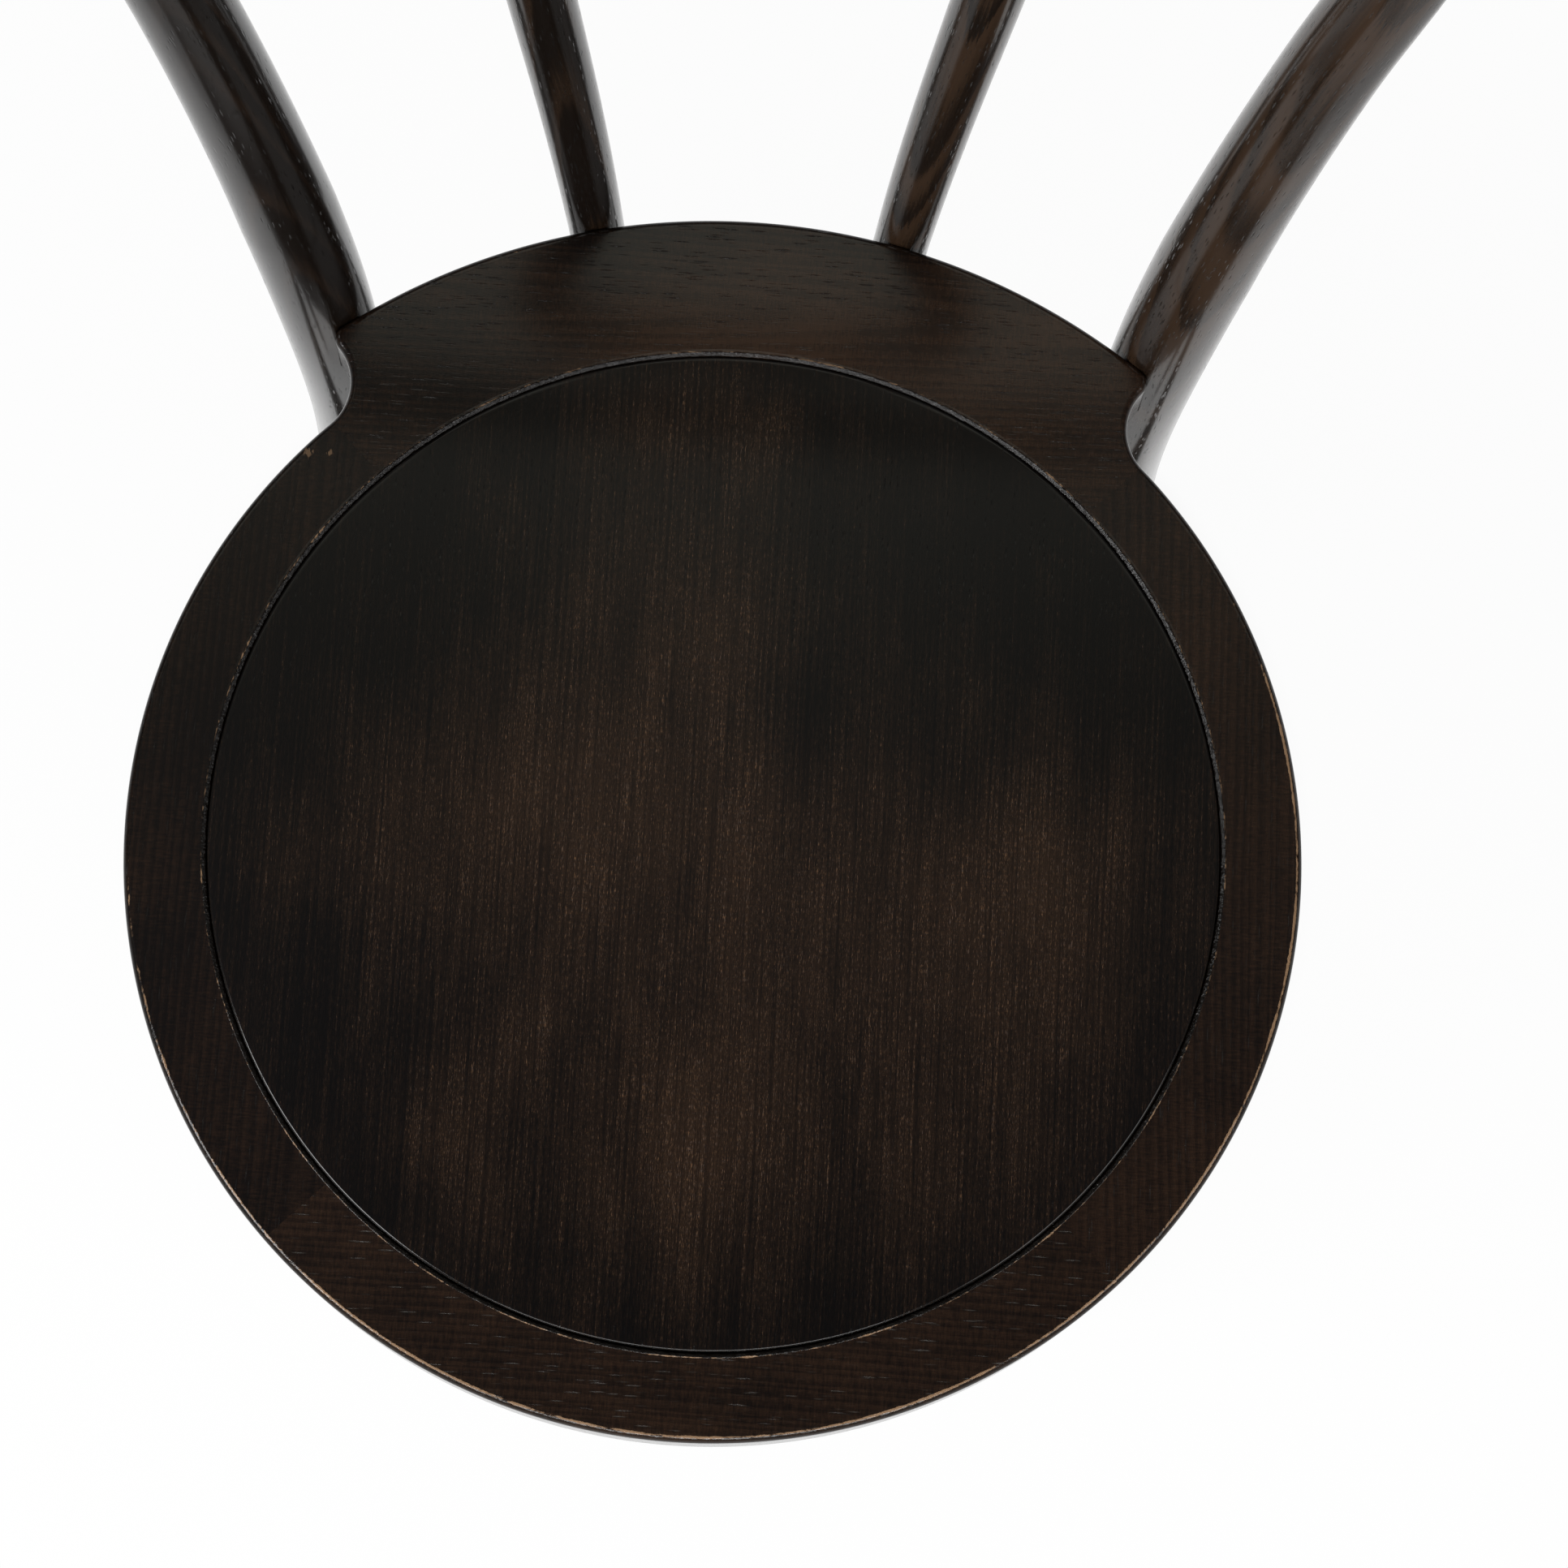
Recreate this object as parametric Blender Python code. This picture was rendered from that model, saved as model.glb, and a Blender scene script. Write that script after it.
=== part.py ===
"""Bentwood side chair. One bent bow is both the rear legs and the back, with a thinner hoop
inside it. The round seat is a veneered panel let into a rim of four mitred segments. Two turned
front legs are tenoned into the rim, and a bent ring ties the four legs together.

Units are metres. +Z is up, the chair faces -Y and stands on z = 0, and the origin is under the
middle of its box. Inside this file, x = y = 0 is the centre of the seat panel: the empty that
carries every piece moves it to the origin."""

import math

import bmesh
import bpy
import numpy as np
from mathutils import Matrix, Vector

# Clearances
GAP = 0.0003  # between faces that touch
HOUSING = 0.0015  # how deep a rod is cut away where it lies against the rim or the ring

# Seat rim
SEAT_HEIGHT = 0.460
RIM_THICK = 0.030
RIM_RADIUS = 0.200  # front and sides
RIM_FORWARD = 0.0016  # centre of that circle in front of the panel's centre
REAR_SWELL = 0.0305  # how much larger the radius of the rear edge is
REAR_FORWARD = 0.0081  # centre of the rear edge in front of the panel's centre
NOTCH_RADIUS = 0.0202  # hollow in front of each upright
NOTCH_ANGLE = math.radians(45.1)  # where the hollow leaves the side, from the side to the rear
SHOULDER_RADIUS = 0.005  # corner between the hollow and the rear edge
EDGE_ROUND = 0.0025  # round-over of the rim's outer edges
RIM_FACE = 0.0280  # width of the rim seen from above, at the sides
LEDGE = 0.018  # shelf under the panel
JOINT_GAP = 0.0003  # glue line of a mitre

# Seat panel
PANEL_THICK = 0.010
GROOVE_CHAMFER = 0.0012  # on the panel and on the rim, which makes the V-groove

# Loose tongues in the mitres
SPLINE_LENGTH = 0.030  # across the rim
SPLINE_WIDTH = 0.018  # along the rim
SPLINE_THICK = 0.006

# Bow: rear legs and back
BOW_ANGLE = math.radians(37.0)  # where it meets the rear edge, from the middle to each side
BOW_PEAK_RADIUS = 0.0168  # thickest just above the seat
BOW_PEAK_ABOVE = 0.050  # height of the thickest place above the seat
BOW_TOP_RADIUS = 0.0134
BOW_FOOT_RADIUS = 0.0115
BOW_THINNING = 1.28  # how fast the uprights thin above the seat
BOW_JOINT_FLARE = math.tan(math.radians(4.57))  # outward slope at the rim
BOW_JOINT_LEAN = math.tan(math.radians(7.01))  # backward slope at the rim
BOW_KNEE_ABOVE = 0.165  # height above the seat where the uprights stop flaring
BOW_KNEE_SPREAD = 0.0319  # how far that place stands outside the rim joint
BOW_KNEE_BACK = 0.0372  # and behind it
BOW_KNEE_FLARE = math.tan(math.radians(14.04))
BOW_LEAN = math.tan(math.radians(13.11))  # backward slope of the back
BOW_HALF_WIDTH = 0.2013  # at the widest place
BOW_WIDEST_ABOVE = 0.264  # height of the widest place above the seat
BOW_RISE = 0.156  # from the widest place to the top
BOW_FOOT_SPREAD = 0.0316  # how far each rear foot stands outside the rim joint
BOW_FOOT_BACK = 0.065  # and behind it
BOW_FOOT_FLARE = math.tan(math.radians(3.15))
BOW_FOOT_RAKE = math.tan(math.radians(14.04))

# Hoop inside the bow
HOOP_ANGLE = math.radians(13.2)
HOOP_FOOT_RADIUS = 0.00985
HOOP_FULL_RADIUS = 0.0117
HOOP_FULL_ABOVE = 0.165  # height above the seat where it gets its full thickness
HOOP_JOINT_FLARE = math.tan(math.radians(3.78))
HOOP_JOINT_LEAN = math.tan(math.radians(5.03))
HOOP_KNEE_ABOVE = 0.060
HOOP_KNEE_SPREAD = 0.0079
HOOP_KNEE_BACK = 0.0134
HOOP_KNEE_FLARE = math.tan(math.radians(7.69))
HOOP_KNEE_LEAN = math.tan(math.radians(13.11))
HOOP_HALF_WIDTH = 0.0837
HOOP_WIDEST_ABOVE = 0.260
HOOP_WIDEST_BACK = 0.0534  # how far the widest place stands behind the rim joint
HOOP_TOP_LEAN = math.tan(math.radians(7.97))
HOOP_RISE = 0.080
HOOP_END_ABOVE = 0.003  # height of its ends above the rim's underside

# Front legs
LEG_ANGLE = math.radians(36.0)  # from the side towards the front
LEG_INSET = 0.023  # from the rim's edge to the leg's axis
LEG_SPLAY = 0.015  # how far the foot stands outside the top
LEG_TOP_RADIUS = 0.0150
LEG_FULL_RADIUS = 0.0158  # thickest place
LEG_FULL_BELOW = 0.090  # depth of the thickest place below the rim
LEG_FOOT_RADIUS = 0.0112
TENON_RADIUS = 0.009
TENON_LENGTH = 0.0155

# Ring that ties the legs
RING_HEIGHT = 0.285
RING_ROD_RADIUS = 0.0100

# Glides under the feet
GLIDE_RADIUS = 0.0100
GLIDE_HEIGHT = 0.0045
GLIDE_EDGE = 0.0012
GLIDE_PIN_RADIUS = 0.0015
GLIDE_PIN_LENGTH = 0.014

# Screws
SCREW_SHANK_RADIUS = 0.0020
SCREW_HEAD_RADIUS = 0.0040
SCREW_HEAD_HEIGHT = 0.0026
SCREW_POINT = 0.005
SCREW_SINK = 0.0012  # how far a head lies below the surface of a rod
RING_SCREW_REACH = 0.014  # depth in the leg
HOOP_SCREW_REACH = 0.026  # depth in the rim
LOCK_SCREW_REACH = 0.004  # depth past the tenon
LOCK_SCREW_ABOVE = 0.008  # height above the rim's underside

# Bolts between the bow and the rim
BOLT_ANGLE = math.radians(50.0)  # from the middle line to each side, seen from above
BOLT_RADIUS = 0.0030
BOLT_HEAD_RADIUS = 0.0065
BOLT_HEAD_HEIGHT = 0.0030
BOLT_SOCKET_RADIUS = 0.0020
BOLT_SOCKET_DEPTH = 0.0018
BOLT_END = 0.004  # past the barrel nut
WASHER_RADIUS = 0.0075
WASHER_THICK = 0.0012
WASHER_SINK = 0.0035  # depth of the washer's seat in the bow
NUT_RADIUS = 0.0050
NUT_LENGTH = 0.016
NUT_INSET = 0.026  # from the bow's surface to the nut's axis

# Fineness of the shapes
ROD_SIDES = 16
SMALL_SIDES = 12
PANEL_SIDES = 72
RING_STEPS = 56
BOW_STEPS = 92
HOOP_STEPS = 48
LONG_ARC_STEP = math.radians(5.0)
SHORT_ARC_STEP = math.radians(20.0)

# Sizes that follow from those above
RIM_TOP = SEAT_HEIGHT
RIM_BOTTOM = SEAT_HEIGHT - RIM_THICK
RIM_MIDDLE = (RIM_TOP + RIM_BOTTOM) / 2
RIM_CENTRE = Vector((0.0, -RIM_FORWARD))
REAR_CENTRE = Vector((0.0, -REAR_FORWARD))
REAR_RADIUS = RIM_RADIUS + REAR_SWELL
OPENING_RADIUS = RIM_RADIUS - RIM_FACE
PANEL_RADIUS = OPENING_RADIUS - GAP
REBATE = PANEL_THICK + GAP
LEDGE_RADIUS = OPENING_RADIUS - LEDGE
FOOT_LEVEL = GLIDE_HEIGHT + GAP
SIDES = {"left": -1, "right": 1}
LONG = 1.0  # longer than the chair, for cutters

CHAIR = None


def clear_scene():
    for obj in list(bpy.data.objects):
        bpy.data.objects.remove(obj, do_unlink=True)


def make_material(name, colour, roughness, metallic=0.0):
    material = bpy.data.materials.new(name)
    material.use_nodes = True
    shader = material.node_tree.nodes["Principled BSDF"]
    shader.inputs["Base Color"].default_value = (*colour, 1.0)
    shader.inputs["Roughness"].default_value = roughness
    shader.inputs["Metallic"].default_value = metallic
    return material


def make_object(name, mesh, material=None):
    """A sub-part, or a cutter if it has no material."""
    obj = bpy.data.objects.new(name, mesh)
    bpy.context.scene.collection.objects.link(obj)
    obj.parent = CHAIR
    if material is None:
        obj.hide_render = True
        obj.display_type = "WIRE"
    else:
        mesh.materials.append(material)
        mesh.shade_smooth()
        mesh.set_sharp_from_angle(angle=math.radians(35))
    return obj


def skin(name, rings, material=None, joined=False):
    """A closed surface over rings of equally many points. The last ring meets the first if joined,
    and otherwise both ends are capped."""
    work = bmesh.new()
    rows = [[work.verts.new(point) for point in ring] for ring in rings]
    count = len(rows[0])
    pairs = list(zip(rows, rows[1:]))
    if joined:
        pairs.append((rows[-1], rows[0]))
    for low, high in pairs:
        for i in range(count):
            j = (i + 1) % count
            work.faces.new((low[i], low[j], high[j], high[i]))
    if not joined:
        work.faces.new(rows[0])
        work.faces.new(rows[-1])
    bmesh.ops.recalc_face_normals(work, faces=work.faces)
    mesh = bpy.data.meshes.new(name)
    work.to_mesh(mesh)
    work.free()
    return make_object(name, mesh, material)


def prism(name, outline, bottom, top, material=None):
    rings = [[Vector((p[0], p[1], z)) for p in outline] for z in (bottom, top)]
    return skin(name, rings, material)


def turned(name, profile, place, material=None, sides=SMALL_SIDES):
    """A turned shape. The profile holds (radius, height) pairs along the local Z axis."""
    turns = [2 * math.pi * i / sides for i in range(sides)]
    rings = [
        [place @ Vector((radius * math.cos(a), radius * math.sin(a), height)) for a in turns]
        for radius, height in profile
    ]
    return skin(name, rings, material)


def along(start, direction):
    """A placement whose local Z axis runs from start in the given direction."""
    turn = Vector(direction).to_track_quat("Z", "Y").to_matrix().to_4x4()
    return Matrix.Translation(start) @ turn


def boolean(obj, other, operation="DIFFERENCE"):
    modifier = obj.modifiers.new(other.name, "BOOLEAN")
    modifier.solver = "EXACT"
    modifier.operation = operation
    modifier.object = other


def polar(angle):
    return Vector((math.cos(angle), math.sin(angle)))


def flat(vector, z=0.0):
    return Vector((vector[0], vector[1], z))


def bearing(side, angle):
    """Unit vector from the middle towards the rear, turned by the angle to one side."""
    return Vector((side * math.sin(angle), math.cos(angle)))


# Outline of the seat


def angle_of(vector):
    return math.atan2(vector.y, vector.x)


def arc(centre, radius, start, end, step, hollow=False):
    """Points and outward normals along an arc, without its last point."""
    count = max(2, math.ceil(abs(end - start) / step))
    turns = [start + (end - start) * i / count for i in range(count)]
    sign = -1 if hollow else 1
    return [(centre + polar(a) * radius, polar(a) * sign) for a in turns]


def shoulder_centre(notch):
    """Centre of the corner that touches the rear edge from inside and the notch from outside."""
    far = REAR_RADIUS - SHOULDER_RADIUS
    near = NOTCH_RADIUS + SHOULDER_RADIUS
    across = notch - REAR_CENTRE
    distance = across.length
    along_line = (far**2 - near**2 + distance**2) / (2 * distance)
    off_line = math.sqrt(far**2 - along_line**2)
    unit = across.normalized()
    return REAR_CENTRE + unit * along_line + Vector((-unit.y, unit.x)) * off_line


def half_outline():
    """The rim's edge from the front to the rear on the right: round side, notch, shoulder, rear."""
    notch = RIM_CENTRE + polar(NOTCH_ANGLE) * (RIM_RADIUS + NOTCH_RADIUS)
    shoulder = shoulder_centre(notch)
    notch_end = angle_of(shoulder - notch)
    shoulder_start = angle_of(notch - shoulder)
    rear_start = angle_of(shoulder - REAR_CENTRE)
    quarter = math.pi / 2
    points = arc(RIM_CENTRE, RIM_RADIUS, -quarter, NOTCH_ANGLE, LONG_ARC_STEP)
    points += arc(notch, NOTCH_RADIUS, NOTCH_ANGLE + math.pi, notch_end, SHORT_ARC_STEP, hollow=True)
    points += arc(shoulder, SHOULDER_RADIUS, shoulder_start, rear_start, SHORT_ARC_STEP)
    points += arc(REAR_CENTRE, REAR_RADIUS, rear_start, quarter, LONG_ARC_STEP)
    return points


def seat_outline():
    """Points, outward normals and bearings about the panel, all the way round from the front."""
    right = half_outline()
    rear = (REAR_CENTRE + Vector((0.0, REAR_RADIUS)), Vector((0.0, 1.0)))
    lengths = [0.0]
    for here, there in zip(right, right[1:] + [rear]):
        lengths.append(lengths[-1] + (there[0] - here[0]).length)
    turns = [math.pi * (length / lengths[-1] - 0.5) for length in lengths]
    flip = Vector((-1.0, 1.0))
    whole = [(p, n, a) for (p, n), a in zip(right + [rear], turns)]
    whole += [(p * flip, n * flip, math.pi - a) for p, n, a in reversed(whole[1:-1])]
    return whole


# Rods


def hermite(start, end, start_slope, end_slope, share, span):
    """Cubic from start to end over a span, with the slopes given at both."""
    t = share
    return (
        start * (2 * t**3 - 3 * t**2 + 1)
        + start_slope * span * (t**3 - 2 * t**2 + t)
        + end * (3 * t**2 - 2 * t**3)
        + end_slope * span * (t**3 - t**2)
    )


def through(knots, z):
    """Point of a rod at a height. Each knot is (height, x, y, outward slope, backward slope)."""
    pairs = list(zip(knots, knots[1:]))
    low, high = next((pair for pair in pairs if z < pair[1][0]), pairs[-1])
    span = high[0] - low[0]
    share = (z - low[0]) / span
    x = hermite(low[1], high[1], low[3], high[3], share, span)
    y = hermite(low[2], high[2], low[4], high[4], share, span)
    return Vector((x, y, z))


def rear_joint(side, angle, radius):
    """Axis of a rod that lies against the rear edge."""
    return REAR_CENTRE + bearing(side, angle) * (REAR_RADIUS + radius - HOUSING)


def bow_radius(z):
    peak = SEAT_HEIGHT + BOW_PEAK_ABOVE
    top = SEAT_HEIGHT + BOW_WIDEST_ABOVE + BOW_RISE
    if z < peak:
        return BOW_FOOT_RADIUS + (BOW_PEAK_RADIUS - BOW_FOOT_RADIUS) * z / peak
    left = max(0.0, (top - z) / (top - peak))
    return BOW_TOP_RADIUS + (BOW_PEAK_RADIUS - BOW_TOP_RADIUS) * left**BOW_THINNING


def bow_joint(side):
    return rear_joint(side, BOW_ANGLE, bow_radius(RIM_MIDDLE))


def bow_knots():
    """The right half of the bow: foot, rim joint, knee and widest place."""
    x, y = bow_joint(1)
    knee = SEAT_HEIGHT + BOW_KNEE_ABOVE
    knee_y = y + BOW_KNEE_BACK
    widest = SEAT_HEIGHT + BOW_WIDEST_ABOVE
    widest_y = knee_y + BOW_LEAN * (widest - knee)
    return [
        (FOOT_LEVEL, x + BOW_FOOT_SPREAD, y + BOW_FOOT_BACK, -BOW_FOOT_FLARE, -BOW_FOOT_RAKE),
        (RIM_MIDDLE, x, y, BOW_JOINT_FLARE, BOW_JOINT_LEAN),
        (knee, x + BOW_KNEE_SPREAD, knee_y, BOW_KNEE_FLARE, BOW_LEAN),
        (widest, BOW_HALF_WIDTH, widest_y, 0.0, BOW_LEAN),
    ]


def bow_leg(z):
    """Axis of the right rear leg at a height below the seat."""
    return through(bow_knots(), z)


def even_steps(points, steps):
    """As many points at even distances along a line of many points."""
    line = np.array(points)
    lengths = np.concatenate([[0.0], np.cumsum(np.linalg.norm(np.diff(line, axis=0), axis=1))])
    wanted = np.linspace(0.0, lengths[-1], steps + 1)
    return [Vector(p) for p in np.stack([np.interp(wanted, lengths, c) for c in line.T], axis=1)]


def rod_line(knots, rise, steps):
    """Axis of a rod from its right end, through the knots and over an arch, to its left end."""
    shares = np.linspace(0.0, 1.0, 200)
    low = knots[0][0]
    widest, half_width, widest_y, _, lean = knots[-1]
    right = [through(knots, low + (widest - low) * share) for share in shares]
    for share in shares[1:]:
        turn = share * math.pi / 2
        up = rise * math.sin(turn)
        right.append(Vector((half_width * math.cos(turn), widest_y + lean * up, widest + up)))
    left = [Vector((-p.x, p.y, p.z)) for p in reversed(right[:-1])]
    return even_steps(right + left, steps)


def hoop_joint(side):
    return rear_joint(side, HOOP_ANGLE, HOOP_FOOT_RADIUS)


def hoop_radius(z):
    share = min(1.0, max(0.0, (z - RIM_MIDDLE) / (SEAT_HEIGHT + HOOP_FULL_ABOVE - RIM_MIDDLE)))
    return HOOP_FOOT_RADIUS + (HOOP_FULL_RADIUS - HOOP_FOOT_RADIUS) * share


def hoop_knots():
    """The right half of the hoop: end, rim joint, knee and widest place."""
    x, y = hoop_joint(1)
    end = RIM_BOTTOM + HOOP_END_ABOVE
    below = RIM_MIDDLE - end
    end_x = x - HOOP_JOINT_FLARE * below
    end_y = y - HOOP_JOINT_LEAN * below
    knee = SEAT_HEIGHT + HOOP_KNEE_ABOVE
    widest = SEAT_HEIGHT + HOOP_WIDEST_ABOVE
    return [
        (end, end_x, end_y, HOOP_JOINT_FLARE, HOOP_JOINT_LEAN),
        (RIM_MIDDLE, x, y, HOOP_JOINT_FLARE, HOOP_JOINT_LEAN),
        (knee, x + HOOP_KNEE_SPREAD, y + HOOP_KNEE_BACK, HOOP_KNEE_FLARE, HOOP_KNEE_LEAN),
        (widest, HOOP_HALF_WIDTH, y + HOOP_WIDEST_BACK, 0.0, HOOP_TOP_LEAN),
    ]


def rod(name, line, radius_at, material):
    """A round rod along a line that never runs front to back. Its ends are cut level."""
    rings = []
    last = len(line) - 1
    for i, point in enumerate(line):
        tangent = (line[min(i + 1, last)] - line[max(i - 1, 0)]).normalized()
        back = Vector((0.0, 1.0, 0.0))
        back = (back - tangent * back.dot(tangent)).normalized()
        across = tangent.cross(back)
        radius = radius_at(point.z)
        turns = [2 * math.pi * k / ROD_SIDES for k in range(ROD_SIDES)]
        ring = [point + (across * math.cos(a) + back * math.sin(a)) * radius for a in turns]
        if i in (0, last):
            ring = [p + tangent * ((point.z - p.z) / tangent.z) for p in ring]
        rings.append(ring)
    return skin(name, rings, material)


# Legs and their ring


def leg_axis(side, z):
    """Axis of a front leg at a height."""
    share = (RIM_BOTTOM - z) / (RIM_BOTTOM - FOOT_LEVEL)
    distance = RIM_RADIUS - LEG_INSET + LEG_SPLAY * share
    return Vector((side * distance * math.cos(LEG_ANGLE), -distance * math.sin(LEG_ANGLE), z))


def leg_radius(z):
    full = RIM_BOTTOM - LEG_FULL_BELOW
    if z > full:
        share = (RIM_BOTTOM - z) / LEG_FULL_BELOW
        return hermite(LEG_TOP_RADIUS, LEG_FULL_RADIUS, 0.0, 0.0, share, 1.0)
    share = (full - z) / (full - FOOT_LEVEL)
    return LEG_FULL_RADIUS + (LEG_FOOT_RADIUS - LEG_FULL_RADIUS) * share


def ring_circle():
    """Centre and radius of the ring's axis, which lies against the inside of all four legs."""
    front = leg_axis(1, RING_HEIGHT)
    rear = bow_leg(RING_HEIGHT)

    def room(leg, radius, centre):
        return math.hypot(leg.x, leg.y - centre) - radius

    low, high = front.y, rear.y
    for _ in range(50):
        centre = (low + high) / 2
        inside_front = room(front, leg_radius(RING_HEIGHT), centre)
        if inside_front > room(rear, bow_radius(RING_HEIGHT), centre):
            high = centre
        else:
            low = centre
    return Vector((0.0, centre)), inside_front + HOUSING - RING_ROD_RADIUS


def ring_rod(name, grow=0.0, material=None):
    centre, radius = ring_circle()
    rings = []
    for i in range(RING_STEPS):
        out = polar(2 * math.pi * i / RING_STEPS)
        turns = [2 * math.pi * k / ROD_SIDES for k in range(ROD_SIDES)]
        size = RING_ROD_RADIUS + grow
        middle = flat(centre + out * radius, RING_HEIGHT)
        rings.append([middle + flat(out * math.cos(a), math.sin(a)) * size for a in turns])
    return skin(name, rings, material, joined=True)


def sheared_leg(name, side, sections, material=None):
    """A leg of level rings, each a (radius, height) pair."""
    turns = [2 * math.pi * k / ROD_SIDES for k in range(ROD_SIDES)]
    rings = [[leg_axis(side, z) + flat(polar(a) * r) for a in turns] for r, z in sections]
    return skin(name, rings, material)


# Fasteners


def screw_profile(length):
    return [
        (SCREW_HEAD_RADIUS, 0.0),
        (SCREW_SHANK_RADIUS, SCREW_HEAD_HEIGHT),
        (SCREW_SHANK_RADIUS, length - SCREW_POINT),
        (SCREW_SHANK_RADIUS / 4, length),
    ]


def screw_hole_profile(length, mouth):
    """The screw's own shape with clearance all round, opened out as far as mouth behind its head."""
    (head, _), (shank, neck), _, _ = screw_profile(length)
    return [
        (head + GAP, -mouth),
        (head + GAP, 0.0),
        (shank + GAP, neck),
        (shank + GAP, length + GAP),
    ]


def add_screw(name, start, direction, length, mouth, material, targets):
    """A countersunk screw, with its hole in each of the targets."""
    place = along(start, direction)
    turned(name, screw_profile(length), place, material)
    hole = turned(name + "_hole", screw_hole_profile(length, mouth), place)
    for target in targets:
        boolean(target, hole)


# Sub-parts


def build_rim(material):
    """The four segments of the rim, cut on the diagonals from one ring."""
    outline = seat_outline()
    shallow = EDGE_ROUND * (1 - math.sqrt(0.5))
    edge = [
        (EDGE_ROUND, RIM_TOP),
        (shallow, RIM_TOP - shallow),
        (0.0, RIM_TOP - EDGE_ROUND),
        (0.0, RIM_BOTTOM + EDGE_ROUND),
        (shallow, RIM_BOTTOM + shallow),
        (EDGE_ROUND, RIM_BOTTOM),
    ]
    inside = [
        (LEDGE_RADIUS, RIM_BOTTOM),
        (LEDGE_RADIUS, RIM_TOP - REBATE),
        (OPENING_RADIUS, RIM_TOP - REBATE),
        (OPENING_RADIUS, RIM_TOP - GROOVE_CHAMFER),
        (OPENING_RADIUS + GROOVE_CHAMFER, RIM_TOP),
    ]
    rings = []
    for point, normal, turn in outline:
        ring = [flat(point - normal * inset, z) for inset, z in edge]
        ring += [flat(polar(turn) * radius, z) for radius, z in inside]
        rings.append(ring)
    segments = {}
    half = math.pi / 4
    for index, name in enumerate(("rim_right", "rim_rear", "rim_left", "rim_front")):
        middle = index * math.pi / 2
        tip = polar(middle) * (JOINT_GAP / 2 / math.sin(half))
        wedge = [tip, tip + polar(middle - half) * LONG, tip + polar(middle + half) * LONG]
        sector = prism(name + "_sector", wedge, RIM_BOTTOM - RIM_THICK, RIM_TOP + RIM_THICK)
        segment = skin(name, rings, material, joined=True)
        boolean(segment, sector, "INTERSECT")
        segments[name] = segment
    return segments


def build_splines(segments, material):
    """A loose tongue in each mitre, below the rebate."""
    radius = (LEDGE_RADIUS + RIM_RADIUS) / 2
    level = (RIM_BOTTOM + RIM_TOP - REBATE) / 2
    joints = {
        "rear_right": ("rim_right", "rim_rear"),
        "rear_left": ("rim_rear", "rim_left"),
        "front_left": ("rim_left", "rim_front"),
        "front_right": ("rim_front", "rim_right"),
    }
    for index, (corner, neighbours) in enumerate(joints.items()):
        out = polar(math.pi / 4 + index * math.pi / 2)
        side = Vector((-out.y, out.x))

        def tongue(name, grow, finish=None):
            long = SPLINE_LENGTH / 2 + grow
            wide = SPLINE_WIDTH / 2 + grow
            thick = SPLINE_THICK / 2 + grow
            corners = ((-long, -wide), (long, -wide), (long, wide), (-long, wide))
            outline = [out * (radius + a) + side * b for a, b in corners]
            return prism(name, outline, level - thick, level + thick, finish)

        tongue("rim_spline_" + corner, 0.0, material)
        slot = tongue("spline_slot_" + corner, GAP)
        for neighbour in neighbours:
            boolean(segments[neighbour], slot)


def build_panel(material):
    bottom = RIM_TOP - PANEL_THICK
    profile = [
        (PANEL_RADIUS, bottom),
        (PANEL_RADIUS, RIM_TOP - GROOVE_CHAMFER),
        (PANEL_RADIUS - GROOVE_CHAMFER, RIM_TOP),
    ]
    turned("seat_panel", profile, Matrix.Identity(4), material, PANEL_SIDES)


def rim_blank():
    """The rim's outer shape with clearance, which the rods are cut back to."""
    outline = [point + normal * GAP for point, normal, _ in seat_outline()]
    return prism("rim_blank", outline, RIM_BOTTOM - GAP, RIM_TOP + GAP)


def build_front_legs(segments, ring_groove, wood, steel):
    """Turned legs, each with a tenon in the rim that a screw from inside locks."""
    legs = {}
    shoulder = RIM_BOTTOM - GAP
    heights = np.linspace(FOOT_LEVEL, shoulder, 13)
    for word, side in SIDES.items():
        sections = [(leg_radius(z), z) for z in heights]
        sections += [(TENON_RADIUS, shoulder), (TENON_RADIUS, RIM_BOTTOM + TENON_LENGTH)]
        leg = sheared_leg("front_leg_" + word, side, sections, wood)
        boolean(leg, ring_groove)
        top = RIM_BOTTOM + TENON_LENGTH + GAP
        bore = [(TENON_RADIUS + GAP, RIM_BOTTOM - GAP), (TENON_RADIUS + GAP, top)]
        boolean(segments["rim_" + word], sheared_leg("socket_" + word, side, bore))
        level = RIM_BOTTOM + LOCK_SCREW_ABOVE
        axis = leg_axis(side, level)
        out = flat(axis).normalized()
        start = flat(out * (LEDGE_RADIUS + SCREW_SINK), level)
        reach = (flat(axis) - flat(start)).length + TENON_RADIUS + LOCK_SCREW_REACH
        targets = (leg, segments["rim_" + word])
        add_screw("leg_lock_screw_" + word, start, out, reach, LEDGE, steel, targets)
        legs[word] = leg
    return legs


def build_ring_screws(ring, legs, bow, steel):
    """A screw from inside the ring into each leg."""
    centre, radius = ring_circle()
    for word, side in SIDES.items():
        rear = bow_leg(RING_HEIGHT)
        rear.x *= side
        ends = {"front_" + word: (leg_axis(side, RING_HEIGHT), legs[word]), "rear_" + word: (rear, bow)}
        for corner, (axis, leg) in ends.items():
            out = (flat(axis) - flat(centre)).normalized()
            start = radius - RING_ROD_RADIUS + SCREW_SINK
            length = 2 * RING_ROD_RADIUS - SCREW_SINK + RING_SCREW_REACH
            place = flat(centre) + out * start
            place.z = RING_HEIGHT
            add_screw("ring_screw_" + corner, place, out, length, RING_ROD_RADIUS, steel, (ring, leg))


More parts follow.
